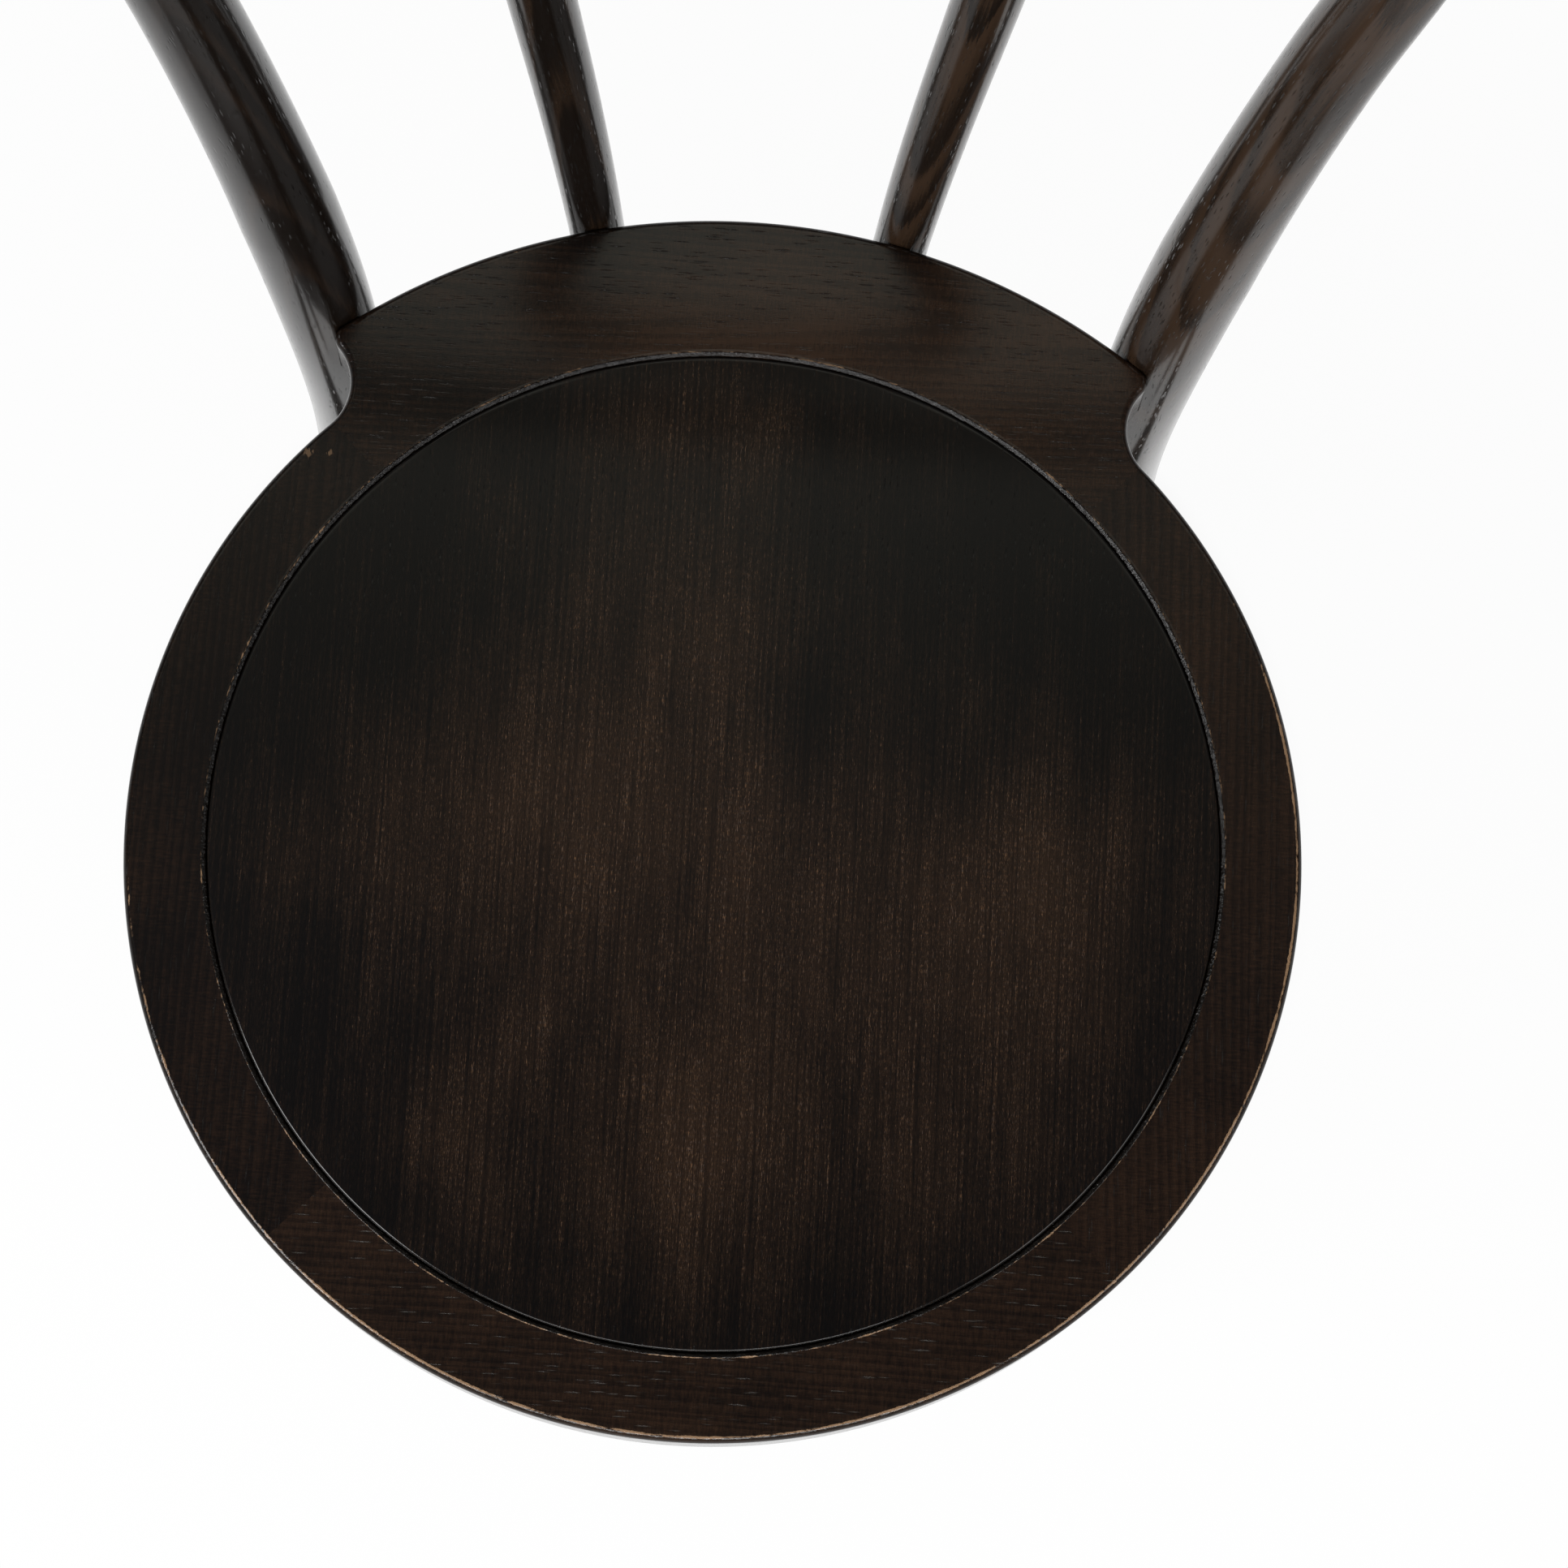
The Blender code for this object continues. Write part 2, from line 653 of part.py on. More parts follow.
def build_hoop_screws(hoop, rear_rim, steel):
    """A screw through each end of the hoop into the rim."""
    for word, side in SIDES.items():
        inward = -flat(bearing(side, HOOP_ANGLE))
        sink = HOOP_FOOT_RADIUS - SCREW_SINK
        start = flat(hoop_joint(side), RIM_MIDDLE) - inward * sink
        length = sink + HOOP_FOOT_RADIUS - HOUSING + HOOP_SCREW_REACH
        targets = (hoop, rear_rim)
        add_screw("hoop_screw_" + word, start, inward, length, HOOP_FOOT_RADIUS, steel, targets)


def build_seat_bolts(bow, rear_rim, steel):
    """A bolt through each upright into a barrel nut in the rim."""
    radius = bow_radius(RIM_MIDDLE)
    for word, side in SIDES.items():
        inward = -flat(bearing(side, BOLT_ANGLE))
        axis = flat(bow_joint(side), RIM_MIDDLE)
        seat = axis - inward * (radius - WASHER_SINK)
        nut_axis = axis + inward * (radius + NUT_INSET)
        place = along(seat, inward)
        head = -WASHER_THICK - 2 * GAP
        end = (nut_axis - seat).length + NUT_RADIUS + BOLT_END
        bolt = turned(
            "seat_bolt_" + word,
            [
                (BOLT_HEAD_RADIUS * 0.8, head - BOLT_HEAD_HEIGHT),
                (BOLT_HEAD_RADIUS, head - BOLT_HEAD_HEIGHT / 2),
                (BOLT_HEAD_RADIUS, head),
                (BOLT_RADIUS, head),
                (BOLT_RADIUS, end),
            ],
            place,
            steel,
        )
        key = (head - BOLT_HEAD_HEIGHT - GAP, head - BOLT_HEAD_HEIGHT + BOLT_SOCKET_DEPTH)
        boolean(bolt, turned("bolt_key_" + word, [(BOLT_SOCKET_RADIUS, z) for z in key], place, sides=6))
        washer = turned(
            "bolt_washer_" + word,
            [(WASHER_RADIUS, -GAP - WASHER_THICK), (WASHER_RADIUS, -GAP)],
            place,
            steel,
        )
        shaft_profile = [(BOLT_RADIUS + GAP, -radius), (BOLT_RADIUS + GAP, end + GAP)]
        shaft = turned("bolt_hole_" + word, shaft_profile, place)
        recess_profile = [(WASHER_RADIUS + GAP, -radius), (WASHER_RADIUS + GAP, 0.0)]
        recess = turned("bolt_recess_" + word, recess_profile, place)
        nut_place = Matrix.Translation(flat(nut_axis, RIM_MIDDLE - NUT_LENGTH / 2))
        nut = turned("barrel_nut_" + word, [(NUT_RADIUS, 0.0), (NUT_RADIUS, NUT_LENGTH)], nut_place, steel)
        bore = [(NUT_RADIUS + GAP, -RIM_THICK), (NUT_RADIUS + GAP, NUT_LENGTH + GAP)]
        for target in (washer, bow, rear_rim, nut):
            boolean(target, shaft)
        boolean(bow, recess)
        boolean(rear_rim, turned("nut_bore_" + word, bore, nut_place))


def build_glides(legs, bow, plastic):
    """A glide with a pin under each foot."""
    top = GLIDE_HEIGHT + GLIDE_PIN_LENGTH
    profile = [
        (GLIDE_RADIUS - GLIDE_EDGE, 0.0),
        (GLIDE_RADIUS, GLIDE_EDGE),
        (GLIDE_RADIUS, GLIDE_HEIGHT),
        (GLIDE_PIN_RADIUS, GLIDE_HEIGHT),
        (GLIDE_PIN_RADIUS, top),
    ]
    bore = [(GLIDE_PIN_RADIUS + GAP, 0.0), (GLIDE_PIN_RADIUS + GAP, top + GAP)]
    for word, side in SIDES.items():
        rear = bow_leg(FOOT_LEVEL)
        rear.x *= side
        feet = {"front_" + word: (leg_axis(side, FOOT_LEVEL), legs[word]), "rear_" + word: (rear, bow)}
        for corner, (foot, leg) in feet.items():
            place = Matrix.Translation(flat(foot))
            turned("foot_glide_" + corner, profile, place, plastic, ROD_SIDES)
            boolean(leg, turned("glide_bore_" + corner, bore, place))


def centre_on_origin():
    """Moves the chair so that the origin is under the middle of its box."""
    bpy.context.view_layer.update()
    graph = bpy.context.evaluated_depsgraph_get()
    depths = []
    for obj in CHAIR.children:
        if not obj.hide_render:
            mesh = obj.evaluated_get(graph).to_mesh()
            depths += [vertex.co.y for vertex in mesh.vertices]
    CHAIR.location.y = -(min(depths) + max(depths)) / 2


def build_chair():
    global CHAIR
    clear_scene()
    CHAIR = bpy.data.objects.new("chair", None)
    bpy.context.scene.collection.objects.link(CHAIR)
    bent = make_material("bent_wood", (0.030, 0.020, 0.016), 0.32)
    solid = make_material("rim_wood", (0.026, 0.018, 0.015), 0.36)
    veneer = make_material("panel_veneer", (0.034, 0.022, 0.017), 0.38)
    bare = make_material("bare_wood", (0.480, 0.320, 0.180), 0.70)
    steel = make_material("zinc_steel", (0.560, 0.560, 0.550), 0.35, 1.0)
    plastic = make_material("glide_plastic", (0.050, 0.048, 0.047), 0.50)

    segments = build_rim(solid)
    build_splines(segments, bare)
    build_panel(veneer)
    bow = rod("back_bow", rod_line(bow_knots(), BOW_RISE, BOW_STEPS), bow_radius, bent)
    hoop = rod("inner_hoop", rod_line(hoop_knots(), HOOP_RISE, HOOP_STEPS), hoop_radius, bent)
    blank = rim_blank()
    boolean(bow, blank)
    boolean(hoop, blank)
    ring = ring_rod("leg_ring", 0.0, bent)
    groove = ring_rod("ring_groove", GAP)
    boolean(bow, groove)
    legs = build_front_legs(segments, groove, bent, steel)
    build_ring_screws(ring, legs, bow, steel)
    build_hoop_screws(hoop, segments["rim_rear"], steel)
    build_seat_bolts(bow, segments["rim_rear"], steel)
    build_glides(legs, bow, plastic)
    centre_on_origin()


build_chair()
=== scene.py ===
"""Looks of the bentwood chair: finer pieces in the places of its solids, stained and lacquered wood,
a white studio, and a camera that looks down on the seat.

Units are metres. Inside the drawing functions x = y = 0 is the centre of the seat panel, as in the
part's source. finish_piece() moves each mesh to where the frame has that panel."""

from math import atan2, ceil, cos, hypot, pi, radians, sin, sqrt, tan

import bmesh
import bpy
import numpy as np
from mathutils import Matrix, Vector
from mathutils.kdtree import KDTree


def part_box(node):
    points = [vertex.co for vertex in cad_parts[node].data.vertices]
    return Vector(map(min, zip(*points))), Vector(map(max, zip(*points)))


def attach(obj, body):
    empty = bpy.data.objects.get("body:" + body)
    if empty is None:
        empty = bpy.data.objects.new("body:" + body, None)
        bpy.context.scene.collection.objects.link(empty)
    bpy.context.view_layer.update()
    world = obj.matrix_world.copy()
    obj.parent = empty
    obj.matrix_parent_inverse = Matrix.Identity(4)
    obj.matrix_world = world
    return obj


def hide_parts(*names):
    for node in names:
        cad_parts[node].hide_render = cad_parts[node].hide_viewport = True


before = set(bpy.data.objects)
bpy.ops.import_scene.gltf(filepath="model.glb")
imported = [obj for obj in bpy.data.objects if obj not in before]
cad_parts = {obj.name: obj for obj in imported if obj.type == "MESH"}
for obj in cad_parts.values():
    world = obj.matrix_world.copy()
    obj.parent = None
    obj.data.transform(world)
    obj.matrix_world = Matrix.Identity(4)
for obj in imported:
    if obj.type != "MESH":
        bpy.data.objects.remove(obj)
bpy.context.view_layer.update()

# The seat as the frame has it
PANEL_LOW, PANEL_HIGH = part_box("seat_panel")
RIM_LOW, RIM_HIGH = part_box("rim_front")
PANEL_CENTRE = Vector(((PANEL_LOW.x + PANEL_HIGH.x) / 2, (PANEL_LOW.y + PANEL_HIGH.y) / 2, 0.0))
SEAT_HEIGHT = PANEL_HIGH.z
RIM_TOP = RIM_HIGH.z
RIM_BOTTOM = RIM_LOW.z
RIM_MIDDLE = (RIM_TOP + RIM_BOTTOM) / 2
PANEL_BOTTOM = PANEL_LOW.z


def slope(degrees):
    return tan(radians(degrees))


# Sizes repeated from the part's source
GAP = 0.0003
HOUSING = 0.0015
RIM_RADIUS = 0.2
RIM_FORWARD = 0.0016
REAR_SWELL = 0.0305
REAR_RADIUS = RIM_RADIUS + REAR_SWELL
REAR_FORWARD = 0.0081
NOTCH_RADIUS = 0.0202
NOTCH_ANGLE = radians(45.1)
SHOULDER_RADIUS = 0.005
EDGE_ROUND = 0.0025
RIM_FACE = 0.028
OPENING_RADIUS = RIM_RADIUS - RIM_FACE
PANEL_RADIUS = OPENING_RADIUS - GAP
LEDGE = 0.018
LEDGE_RADIUS = OPENING_RADIUS - LEDGE

BOW_ANGLE = radians(37.0)
BOW_PEAK_RADIUS = 0.0168
BOW_PEAK_ABOVE = 0.05
BOW_TOP_RADIUS = 0.0134
BOW_FOOT_RADIUS = 0.0115
BOW_THINNING = 1.28
BOW_JOINT_FLARE = slope(4.57)
BOW_JOINT_LEAN = slope(7.01)
BOW_KNEE_ABOVE = 0.165
BOW_KNEE_SPREAD = 0.0319
BOW_KNEE_BACK = 0.0372
BOW_KNEE_FLARE = slope(14.04)
BOW_LEAN = slope(13.11)
BOW_HALF_WIDTH = 0.2013
BOW_WIDEST_ABOVE = 0.264
BOW_RISE = 0.156
BOW_FOOT_SPREAD = 0.0316
BOW_FOOT_BACK = 0.065
BOW_FOOT_FLARE = slope(3.15)
BOW_FOOT_RAKE = slope(14.04)

HOOP_ANGLE = radians(13.2)
HOOP_FOOT_RADIUS = 0.00985
HOOP_FULL_RADIUS = 0.0117
HOOP_FULL_ABOVE = 0.165
HOOP_JOINT_FLARE = slope(3.78)
HOOP_JOINT_LEAN = slope(5.03)
HOOP_KNEE_ABOVE = 0.06
HOOP_KNEE_SPREAD = 0.0079
HOOP_KNEE_BACK = 0.0134
HOOP_KNEE_FLARE = slope(7.69)
HOOP_KNEE_LEAN = slope(13.11)
HOOP_HALF_WIDTH = 0.0837
HOOP_WIDEST_ABOVE = 0.26
HOOP_WIDEST_BACK = 0.0534
HOOP_TOP_LEAN = slope(7.97)
HOOP_RISE = 0.08
HOOP_END_ABOVE = 0.003

LEG_ANGLE = radians(36.0)
LEG_INSET = 0.023
LEG_SPLAY = 0.015
LEG_TOP_RADIUS = 0.015
LEG_FULL_RADIUS = 0.0158
LEG_FULL_BELOW = 0.09
LEG_FOOT_RADIUS = 0.0112
RING_HEIGHT = 0.285
RING_ROD_RADIUS = 0.01
GLIDE_HEIGHT = 0.0045
GLIDE_PIN_RADIUS = 0.0015
FOOT_LEVEL = GLIDE_HEIGHT + GAP
BOLT_HEAD_HEIGHT = 0.003
WASHER_RADIUS = 0.0075
WASHER_THICK = 0.0012

RIM_CENTRE = np.array([0.0, -RIM_FORWARD])
REAR_CENTRE = np.array([0.0, -REAR_FORWARD])
SIDES = {"left": -1, "right": 1}
CORNERS = [(-1, -1), (1, -1), (1, 1), (-1, 1)]

# Fine forms that only this script has
MITRE_GAP = 0.00002  # hairline between two segments of the rim
EDGE_FLAT = 0.002  # strip of fine faces beside the rim's outer round-over
RIM_EASE = 0.0018  # rounded lip of the rim along the groove
LIP_RADIUS = OPENING_RADIUS + RIM_EASE
RIM_LIP = 0.0008  # strip of fine faces beside that lip
# Inward and downward shares of the lip, from its foot to its top
EASE_SHARES = [(1.0, 1.0), (0.97, 0.82), (0.92, 0.64), (0.84, 0.48), (0.7, 0.34)]
EASE_SHARES += [(0.48, 0.198), (0.28, 0.088), (0.14, 0.028), (0.04, 0.004)]
PANEL_CHAMFER = 0.0005
PANEL_ROUND = 0.001  # between the chamfer and the top of the panel
PANEL_STRIP = 0.0015  # strip of fine faces beside it
PANEL_CAP = 0.004  # radius of the last face of its underside
PANEL_SPAN = (0.97, 0.01)  # widest and narrowest ring of its top, as shares of the radius
BOW_JOINT_SWELL = 0.0006
BOW_SWELL_REACH = 0.06
FOOT_ROUND = 0.0012
FOOT_EASE = [(0.001, 0.0), (0.0003, 0.0004)]  # inset and height of points of the leg's round foot
GLIDE_EDGE = 0.0013
GLIDE_SOFT = 0.0004

# Fasteners. Those above 0.1 are shares of the head's radius, but STRAIGHT is one of the length,
# and POINT is one of the shank.
SCREW_FACE = 0.93
SCREW_EDGE = 0.0003
SCREW_CONE = 0.65
SCREW_SHANK = 0.5
SCREW_POINT = 0.25
SCREW_STRAIGHT = 0.85
SCREW_MOUTH = 4.0
SLOT_LENGTH = 2.4
SLOT_WIDTH = 0.001
SLOT_DEPTH = 0.0011
BOLT_SHAFT = 0.46
BOLT_DOME = 0.0016
BOLT_DOME_START = 0.5  # angle at the rim of the socket
SOCKET_RADIUS = 0.0021
SOCKET_DEPTH = 0.0019
SOCKET_MOUTH = 0.002
WASHER_SOFT = 0.0002
RECESS_RADIUS = 0.0078
RECESS_PAST_WASHER = 0.0009
RECESS_MOUTH = 0.02
NUT_BORE_REACH = 1.5  # times the way from the nut down to the underside

# Fineness of the shapes
ROD_SIDES = 48
LINE_POINTS = 600
BOW_STEPS = 640
HOOP_STEPS = 320
RING_STEPS = 300
RING_HALVINGS = 50
LEG_STEPS = 110
PANEL_SIDES = 360
PANEL_RINGS = 40
SMALL_SIDES = 40
ROUND_STEPS = 10
PANEL_ROUND_STEPS = 6
DOME_STEPS = 7
GLIDE_STEPS = 6
LONG_ARC_STEP = radians(0.8)
SHORT_ARC_STEP = radians(4.0)
SHARP_ANGLE = radians(40)

# Looks of the three woods, in the order of their names. Sizes run across, into and along the grain.
# A gain is how far a layer of the pattern moves the stain from dark to light. A chip has a place in
# the grain and a size.
WOODS = ("stained_bent_ash", "stained_rim_ash", "stained_panel_veneer")
LOOKS = {
    "dark": [(0.006, 0.0038, 0.0026), (0.0022, 0.0012, 0.0007), (0.0014, 0.001, 0.0007)],
    "light": [(0.037, 0.0208, 0.0118), (0.031, 0.0152, 0.0078), (0.024, 0.0128, 0.0068)],
    "tick": [(0.06, 0.033, 0.018), (0.06, 0.032, 0.017), (0.15, 0.08, 0.04)],
    "tick_pale": [(0.045, 0.036, 0.028), (0.04, 0.03, 0.023), (0.088, 0.064, 0.052)],
    "pore": [(0.002, 0.0018, 0.0016), (0.0012, 0.001, 0.0009), (0.003, 0.0025, 0.0022)],
    "pore_pale": [(0.002, 0.0018, 0.0016), (0.036, 0.031, 0.027), (0.003, 0.0025, 0.0022)],
    "rubbed": [(0.28, 0.14, 0.055), (0.27, 0.165, 0.092), (0.1, 0.07, 0.045)],
    "wander": [0.01, 0.006, 0.003],
    "run_out": [0.06, 0.02, 0.0],
    "ring_width": [0.0032, 0.0026, 0.0022],
    "ring_gain": [0.62, 0.15, 0.1],
    "cloud_size": [(0.03, 0.03, 0.12), (0.03, 0.03, 0.05), (0.02, 0.02, 0.045)],
    "cloud_gain": [0.7, 0.5, 0.5],
    "streak_gain": [0.35, 0.12, 0.68],
    "fibre_gain": [0.4, 0.4, 0.9],
    "ray_gain": [0.15, 0.46, 0.1],
    "tick_share": [0.3, 0.3, 1.0],
    "pore_size": [(0.001, 0.001, 0.0075), (0.0009, 0.0009, 0.011), (0.001, 0.001, 0.006)],
    "pore_least": [0.65, 0.1, 0.1],
    "pore_share": [0.9, 0.9, 0.5],
    "relief": [0.00008, 0.00007, 0.00004],
    "chips": [[], [((-0.0376, 0.035, 2.1287), 0.0017), ((-0.0303, 0.035, 2.1291), 0.0012)], []],
    "nicks": [0.0, 2.5, 1.0],
    "coat_rough": [0.14, 0.15, 0.14],
}

# Where the stain is lighter or darker: x, y, half width, half length and amount. Three rows of the rim's
# are painted shade instead.
PANEL_PATCHES = [
    (0.0, -0.03, 0.13, 0.125, 0.34),
    (-0.061, 0.01, 0.06, 0.04, 0.26),
    (0.005, -0.005, 0.045, 0.04, 0.06),
    (0.05, -0.05, 0.05, 0.05, 0.08),
    (0.004, -0.11, 0.022, 0.04, 0.36),
    (-0.081, -0.105, 0.018, 0.03, 0.17),
    (-0.027, -0.113, 0.018, 0.028, 0.12),
    (0.09, -0.11, 0.05, 0.04, 0.17),
    (0.115, -0.015, 0.045, 0.05, 0.38),
    (-0.004, 0.074, 0.03, 0.035, 0.14),
    (-0.035, 0.085, 0.055, 0.05, 0.14),
    (-0.137, -0.014, 0.035, 0.02, 0.14),
    (-0.06, -0.07, 0.03, 0.022, 0.1),
    (-0.058, -0.125, 0.02, 0.025, 0.1),
    (0.032, 0.052, 0.022, 0.02, -0.12),
    (-0.012, 0.148, 0.05, 0.025, 0.28),
    (-0.111, 0.09, 0.05, 0.05, -0.08),
    (0.1, 0.1, 0.05, 0.05, -0.08),
]
RIM_PATCHES_AND_SHADE = [
    (0.005, 0.181, 0.085, 0.019, 0.39),
    (-0.11, 0.165, 0.035, 0.025, -0.3),
    (0.09, 0.178, 0.035, 0.022, 0.14),
    # Painted shade: these three darken the rear edge at and between the hoop ends
    (-0.01, 0.212, 0.06, 0.01, -0.2),
    (0.057, 0.212, 0.018, 0.016, -0.15),
    (-0.052, 0.212, 0.018, 0.016, -0.15),
    (-0.175, 0.04, 0.03, 0.045, -0.08),
    (0.15, -0.11, 0.04, 0.04, 0.06),
]

# Axes across, into and along the grain of sawn pieces
SIDE_TO_SIDE = [1, 2, 0]
FRONT_TO_BACK = [0, 2, 1]

# Segments of the rim: how light the stain is, how pale the pores are, the grain and the heart of the log
RIM_SEGMENTS = {
    "rim_right": (-0.13, 0.35, FRONT_TO_BACK, (-0.11, 0.035, 3.0)),
    "rim_rear": (-0.09, 0.15, SIDE_TO_SIDE, (-0.188, 0.014, 1.0)),
    "rim_left": (-0.24, 0.2, FRONT_TO_BACK, (0.11, 0.035, 2.0)),
    "rim_front": (-0.07, 1.0, SIDE_TO_SIDE, (0.27, 0.04, 0.0)),
}
RIM_OPEN = 0.4  # more dark pores where they aren't pale
# Painted shade on the rim's lip and on the walls of the groove
GROOVE_SHADE = 0.5

# The same for the other pieces. The bent rods and the legs carry painted light and shade: darker on their
# left half and lighter on their right half.
PANEL_TONE = -0.4
PANEL_PITH = (0.9, 0.2, 0.0)
BOW_TONE_AND_SIDE_LIGHT = {"base": -0.14, "rise": 0.38, "reach": 0.10}
BOW_OPEN = -0.35
BOW_OPEN_REACH = 0.05
HOOP_TONE_AND_SIDE_LIGHT = {"base": -0.14, "rise": 0.14, "reach": 0.05}
LEG_SIDE_LIGHT = 0.05
BOW_PITH = (0.006, -0.034)
HOOP_PITH = (0.01, -0.03)
RING_PITH = (0.045, 0.02)
LEG_PITH = (0.03, 0.045, 0.4)

# Sizes of the patterns that all three woods share
WANDER_SIZE = (0.05, 0.05, 0.2)
STREAK_SIZE = (0.0007, 0.0007, 0.06)
FIBRE_SIZE = (0.0003, 0.0003, 0.0024)
RAY_SIZE = (0.0035, 0.0035, 0.0006)
SPECK_SIZE = (0.00024, 0.00024, 0.0015)
WORN_SIZE = (0.012, 0.012, 0.012)
CHIP_SIZE = (0.0009, 0.0009, 0.0024)
LUMP_SIZE = (0.0016, 0.0016, 0.0016)
STREAK_SHIFT = 0.0015  # how far a streak shifts the rings
RING_CHANGE = 0.45  # how fast the rings' width changes, and how much
RING_UNEVEN = 1.4
FIBRE_HEIGHT = 0.1  # heights are shares of a look's relief
LUMP_HEIGHT = 9.0

# Patterns of the steel, the glides and the bare wood
SPOT_SIZE = (0.002, 0.002, 0.002)
SCUFF_SIZE = (0.003, 0.0006, 0.003)
PIT_SIZE = (0.0005, 0.0005, 0.0005)
PIT_DEPTH = 0.00004
BEECH_SIZE = (0.0006, 0.012, 0.0006)
BEECH_DEPTH = 0.00005

# Wear along the edges: where it fades out and where it is full, and how strong it is
WORN_WIDTH = (0.001, 0.0002)
LIP_WIDTH = (0.0008, 0.0001)
WORN_DROP = (0.0012, 0.0004)
WORN_INSET = 0.75 * EDGE_ROUND
WORN_FRONT = (0.14, -0.18)
WORN_SLANT = 0.15
WORN_RIGHT_X = (0.15, 0.19)
WORN_RIGHT_Y = (0.11, 0.05)
WORN_LEAST = 0.34
WORN_FRONT_MORE = 0.54
WORN_RIGHT_MOST = 0.92
WORN_LIP = 0.65
WORN_PANEL = 0.35
PANEL_WORN_WIDTH = (0.0012, 0.0002)
PANEL_WORN_DROP = (0.002, 0.0)
GROOVE_START = 0.0003
WORN_RAGGED = 0.9
WORN_COVER = 0.85
CHIP_WEAR = 0.38
CHIP_RAGGED = 4.0  # shares of a chip's size
CHIP_CORE = 0.5

# Floor with a painted pool of light: white round the chair and pale grey far from it, with the places
# where it changes
FLOOR_HALF = 30.0
FLOOR_LIT_PAINT = (0.95, 0.95, 0.95)
FLOOR_DIM_PAINT = (0.6, 0.6, 0.6)
LIGHT_POOL_EDGES = (("X", 0.41, 0.54), ("X", -0.6, -1.1), ("Y", 0.56, 0.95), ("Y", -0.27, -0.45))
SHADOW_PLACE = (0.0, 0.09, 0.0)  # under the chair, where the floor glows least
SHADOW_EDGE = (0.215, 0.275)
SHADOW_GLOW = (0.15, 0.95)

# Lamps: place, size, power, and rays that don't meet the lamp
LAMPS = {
    "front_softbox": ((0.0, -1.25, 1.95), (2.2, 0.9), 28.3, ["visible_glossy"]),
    "low_softbox": ((0.0, -1.75, 1.47), (1.8, 0.34), 13.5, ["visible_diffuse"]),
    "key_softbox": ((-1.6, -1.0, 2.1), (1.2, 1.2), 34.0, []),
    "fill_softbox": ((1.6, -1.0, 2.0), (1.2, 1.2), 10.0, []),
}


# Meshes


def add_object(name, data):
    obj = bpy.data.objects.new(name, data)
    bpy.context.scene.collection.objects.link(obj)
    return obj


def make_object(name, points, faces):
    mesh = bpy.data.meshes.new(name)
    mesh.from_pydata([tuple(p) for p in points], [], faces)
    work = bmesh.new()
    work.from_mesh(mesh)
    bmesh.ops.recalc_face_normals(work, faces=work.faces)
    work.to_mesh(mesh)
    work.free()
    return add_object(name, mesh)


def full_turn(count):
    return np.linspace(0.0, 2 * pi, count, endpoint=False)


def skin(name, rings, joined=False):
    """A closed surface over rings of equally many points. The last ring meets the first if joined,
    and otherwise both ends are capped."""
    rings = np.asarray(rings, float)
    count, sides = rings.shape[:2]
    index = np.arange(count * sides).reshape(count, sides)
    low = index if joined else index[:-1]
    high = np.roll(index, -1, axis=0) if joined else index[1:]
    quads = np.stack([low, np.roll(low, -1, axis=1), np.roll(high, -1, axis=1), high], axis=-1)
    faces = quads.reshape(-1, 4).tolist()
    if not joined:
        faces += [index[0].tolist(), index[-1].tolist()]
    return make_object(name, rings.reshape(-1, 3), faces)


def turned(name, profile, place, sides=SMALL_SIDES, joined=False):
    """A turned shape. The profile holds (radius, height) pairs along the local Z axis of place."""
    turns = full_turn(sides)
    rings = [
        [place @ Vector((radius * cos(a), radius * sin(a), height)) for a in turns]
        for radius, height in profile
    ]
    return skin(name, rings, joined)


def along(start, direction):
    """A placement whose local Z axis runs from start in the given direction."""
    turn = Vector(direction).to_track_quat("Z", "Y").to_matrix().to_4x4()
    return Matrix.Translation(start) @ turn


def points_of(obj):
    points = np.empty(len(obj.data.vertices) * 3, np.float32)
    obj.data.vertices.foreach_get("co", points)
    return points.reshape(-1, 3).astype(float)


def cut(obj, *cutters):
    """Takes the cutters out of a piece and removes them."""
    for cutter in cutters:
        modifier = obj.modifiers.new(cutter.name, "BOOLEAN")
        modifier.solver = "EXACT"
        modifier.object = cutter
    graph = bpy.context.evaluated_depsgraph_get()
    mesh = bpy.data.meshes.new_from_object(obj.evaluated_get(graph))
    old = obj.data
    obj.modifiers.clear()
    obj.data = mesh
    bpy.data.meshes.remove(old)
    for cutter in cutters:
        bpy.data.objects.remove(cutter)


def store(obj, name, values):
    """Keeps a number or a vector for each point, for the materials to read."""
    values = np.asarray(values, np.float32)
    kind, field = ("FLOAT", "value") if values.ndim == 1 else ("FLOAT_VECTOR", "vector")
    attribute = obj.data.attributes.new(name, kind, "POINT")
    attribute.data.foreach_set(field, values.ravel())


def finish_piece(obj, material, slot, *nodes):
    """Moves a piece into the frame, gives it its material, and lets it stand for its solids."""
    obj.data.transform(Matrix.Translation(PANEL_CENTRE))
    obj.data.materials.clear()
    obj.data.materials.append(material)
    obj.data.shade_smooth()
    obj.data.set_sharp_from_angle(angle=SHARP_ANGLE)
    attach(obj, "root")
    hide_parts(*nodes)


def box_middle(node):
    """Middle of a node's box, in the drawing's own place."""
    low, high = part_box(node)
    return (low + high) / 2 - PANEL_CENTRE


def tree_of(points):
    """Points in an order in which the nearest one is found fast."""
    tree = KDTree(len(points))
    for index, point in enumerate(points):
        tree.insert(point, index)
    tree.balance()
    return tree


def smooth(low, high, values):
    """0 below low, 1 above high, and an even S between them."""
    share = np.clip((np.asarray(values) - low) / (high - low), 0.0, 1.0)
    return share * share * (3 - 2 * share)


# Outline of the seat


def polar(angle):
    return np.array([cos(angle), sin(angle)])


def angle_of(vector):
    return atan2(vector[1], vector[0])


